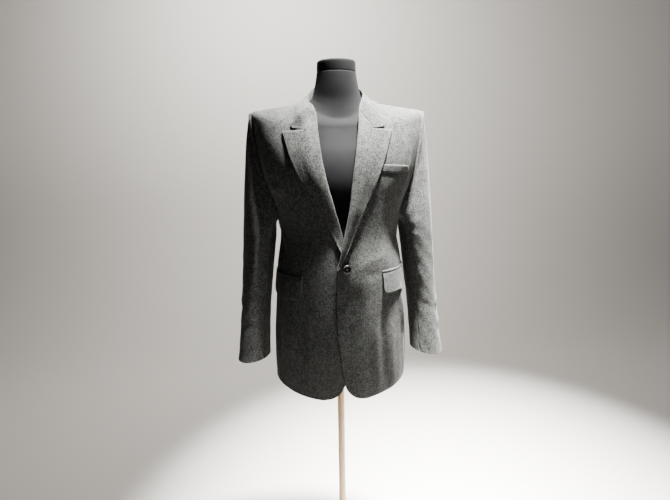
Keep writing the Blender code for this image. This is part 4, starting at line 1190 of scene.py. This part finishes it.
# section of the folded jet from its hidden inner edge round the fold up to the seam: height over the
# pocket's mouth, and how far off the body
JET_SECTION = np.array([
    (0.0026, 0.0004), (0.0012, 0.0004), (0.0003, 0.0008), (0.0000, 0.0016), (0.0005, 0.0025),
    (0.0016, 0.0029), (0.0030, 0.0029), (0.0045, 0.0025), (0.0055, 0.0017), (0.0060, 0.0006),
])
FLAP_FRONT, FLAP_BACK = 33.5, 93.0        # phi in degrees
JET_PAST = 0.6                            # and how far the jet runs on past the flap's ends
FLAP_OFF = 0.0024         # how far the flap lies off the body at its top, and how it then stands off:
FLAP_FLARE, FRONT_CORNER_OFF, BACK_CORNER_OFF = 0.0012, 0.0022, 0.0012


def at_height(side, phi, z, out):
    """The point of the body surface at this phi and height."""
    low = np.zeros(phi.shape)
    high = np.full(phi.shape, 0.70)
    for _ in range(30):
        t = (low + high) / 2
        under = bare_body(phi, t)[..., 2] < z
        low = np.where(under, t, low)
        high = np.where(under, high, t)
    return body(side * phi, t, out)


for side, word in SIDES:
    columns, rows = np.meshgrid(np.linspace(0, 1, 51), np.linspace(0, 1, 21))
    share = 0.3 * columns + 0.7 * (1 - np.cos(math.pi * columns)) / 2
    down = 1 - rows
    phi = np.radians(FLAP_FRONT + (FLAP_BACK - FLAP_FRONT) * share)
    near = np.minimum(share, 1 - share) * FLAP_WIDTH
    inside = np.clip(FLAP_CORNER - near, 0.0, FLAP_CORNER)
    short = FLAP_CORNER - np.sqrt(FLAP_CORNER**2 - inside**2)
    z = POCKET_TOP[side] - 0.0004 - (FLAP_HEIGHT - short * 0.85) * down
    front_off = FRONT_CORNER_OFF * ease(down, 0.3, 1.0) * (1 - ease(share, 0.0, 0.35))
    back_off = BACK_CORNER_OFF * ease(down, 0.5, 1.0) * ease(share, 0.75, 1.0)
    soft = 0.0006 * np.sin(math.pi * rows) + 0.0004 * np.sin(7 * share + 3 * rows + side)
    points = at_height(side, phi, z, FLAP_OFF + FLAP_FLARE * down + front_off + back_off + soft)
    cloth("flap_" + word, points, edges=("left", "right", "low"), side=side)
    columns, rows = np.meshgrid(np.linspace(0, 1, 57), np.linspace(0, 1, 19))
    phi = np.radians(FLAP_FRONT - JET_PAST + (FLAP_BACK - FLAP_FRONT + 2 * JET_PAST) * columns)
    rise, out = columns_of(along(JET_SECTION, rows))
    points = at_height(side, phi, POCKET_TOP[side] + rise, out)
    cloth("jet_" + word, points, JET_THICK, side=side)

# ---------------------------------------------------------------- breast welt
# A plain welt on the wearer's left chest with a folded top edge, sewn down at both ends.
WELT_HEIGHT = 0.0205
WELT_THICK = 0.0012
WELT_OFF, WELT_TOP_MORE = 0.0015, 0.0010      # off the body at its foot, and more at its top edge
WELT_INNER, WELT_OUTER = (0.0930, 1.2531), (0.1655, 1.2485)      # x and z of the ends of its top
columns, rows = np.meshgrid(np.linspace(0, 1, 37), np.linspace(0, 1, 11))
x = WELT_INNER[0] + (WELT_OUTER[0] - WELT_INNER[0]) * columns
z = WELT_INNER[1] + (WELT_OUTER[1] - WELT_INNER[1]) * columns - WELT_HEIGHT * (1 - rows)


def welt_relief(away):
    ends = np.minimum(away["left"], away["right"])
    sewn = swell(ends, -0.0010, 0.0012) + swell(away["low"], -0.0012, 0.0016)
    stitches = 0.00025 * np.sin(away["low"] * 2200) * swell(ends, 1.0, 0.0007, 0.0018)
    return swell(away["high"], -0.0014, 0.0010) + sewn + stitches


cloth(
    "welt_breast", on_front(1, x, z, WELT_OFF + WELT_TOP_MORE * rows), WELT_THICK,
    relief=welt_relief, name="welt_cloth",
)

# ---------------------------------------------------------------- button
# One dark polished horn button with a rounded rim and a dished middle, sewn on with two crossed
# threads that fill its holes.
BUTTON_RADIUS = 0.01125


def horn(name):
    """Near-black horn under a hard polish, with faint brown clouds."""
    made = plain_material(name, (0.004, 0.004, 0.004), 0.28, Coat_Weight=0.25, Coat_Roughness=0.10)
    tree = made.node_tree
    place = tree.nodes.new("ShaderNodeTexCoord").outputs["Object"]
    return finished(made, colour_ramp(tree, value_noise(tree, place, 160.0, 3.0, 0.6), (
        (0.40, (0.003, 0.003, 0.003)), (0.68, (0.009, 0.007, 0.006)),
    )))


BUTTON_THICK = 0.0036
BUTTON_RIM = 0.0014       # radius of the rounded rim
BUTTON_PLACE = (0.0072, 1.006)      # x and z
BUTTON_OFF = 0.0004       # gap under it
DISH_DEPTH = 0.0016
dish = [(0.0, 0.0), (0.0070, 0.0), (0.0095, 0.0006)]
for k in range(13):
    turn = math.pi * (k / 12 - 0.5)
    dish.append((
        BUTTON_RADIUS - BUTTON_RIM + BUTTON_RIM * math.cos(turn),
        BUTTON_THICK - BUTTON_RIM + BUTTON_RIM * math.sin(turn),
    ))
for share in np.linspace(0.1, 1.0, 12):
    sunk = DISH_DEPTH * float(ease(share, 0.0, 0.34))
    dish.append(((BUTTON_RADIUS - BUTTON_RIM) * (1 - share), BUTTON_THICK - sunk))
phi_button, t_button = front_point(*np.array(BUTTON_PLACE))
facing = Vector(body_normal(phi_button, t_button))
spot = Vector(body(phi_button, t_button, left_lift(phi_button, t_button) + BUTTON_OFF))
seat = Matrix.Translation(spot) @ facing.to_track_quat("Z", "Y").to_matrix().to_4x4()
button = turned("horn_button", dish, 96, 0.0, horn("polished horn"))
button.data.transform(seat)

# two crossed rows of thread over the button's middle, each a short arch of small beads
THREAD_REACH = 0.0026
THREAD_RADIUS = 0.00045
ARCH_FOOT, ARCH_RISE = 0.0018, 0.0012
thread = plain_material("button thread", (0.012, 0.012, 0.012), 0.8)
bm = bmesh.new()
for turn in (math.radians(45), math.radians(135)):
    for j in range(25):
        arc = math.pi * j / 24
        place = Vector((
            THREAD_REACH * math.cos(arc) * math.cos(turn), THREAD_REACH * math.cos(arc) * math.sin(turn),
            ARCH_FOOT + ARCH_RISE * math.sin(arc),
        ))
        bmesh.ops.create_icosphere(
            bm, subdivisions=1, radius=THREAD_RADIUS, matrix=Matrix.Translation(place),
        )
bmesh.ops.transform(bm, matrix=seat, verts=bm.verts[:])
sewing = made_object("button_thread", bm, thread)
for piece in (button, sewing):
    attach(piece, "root")
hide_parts("button_front")
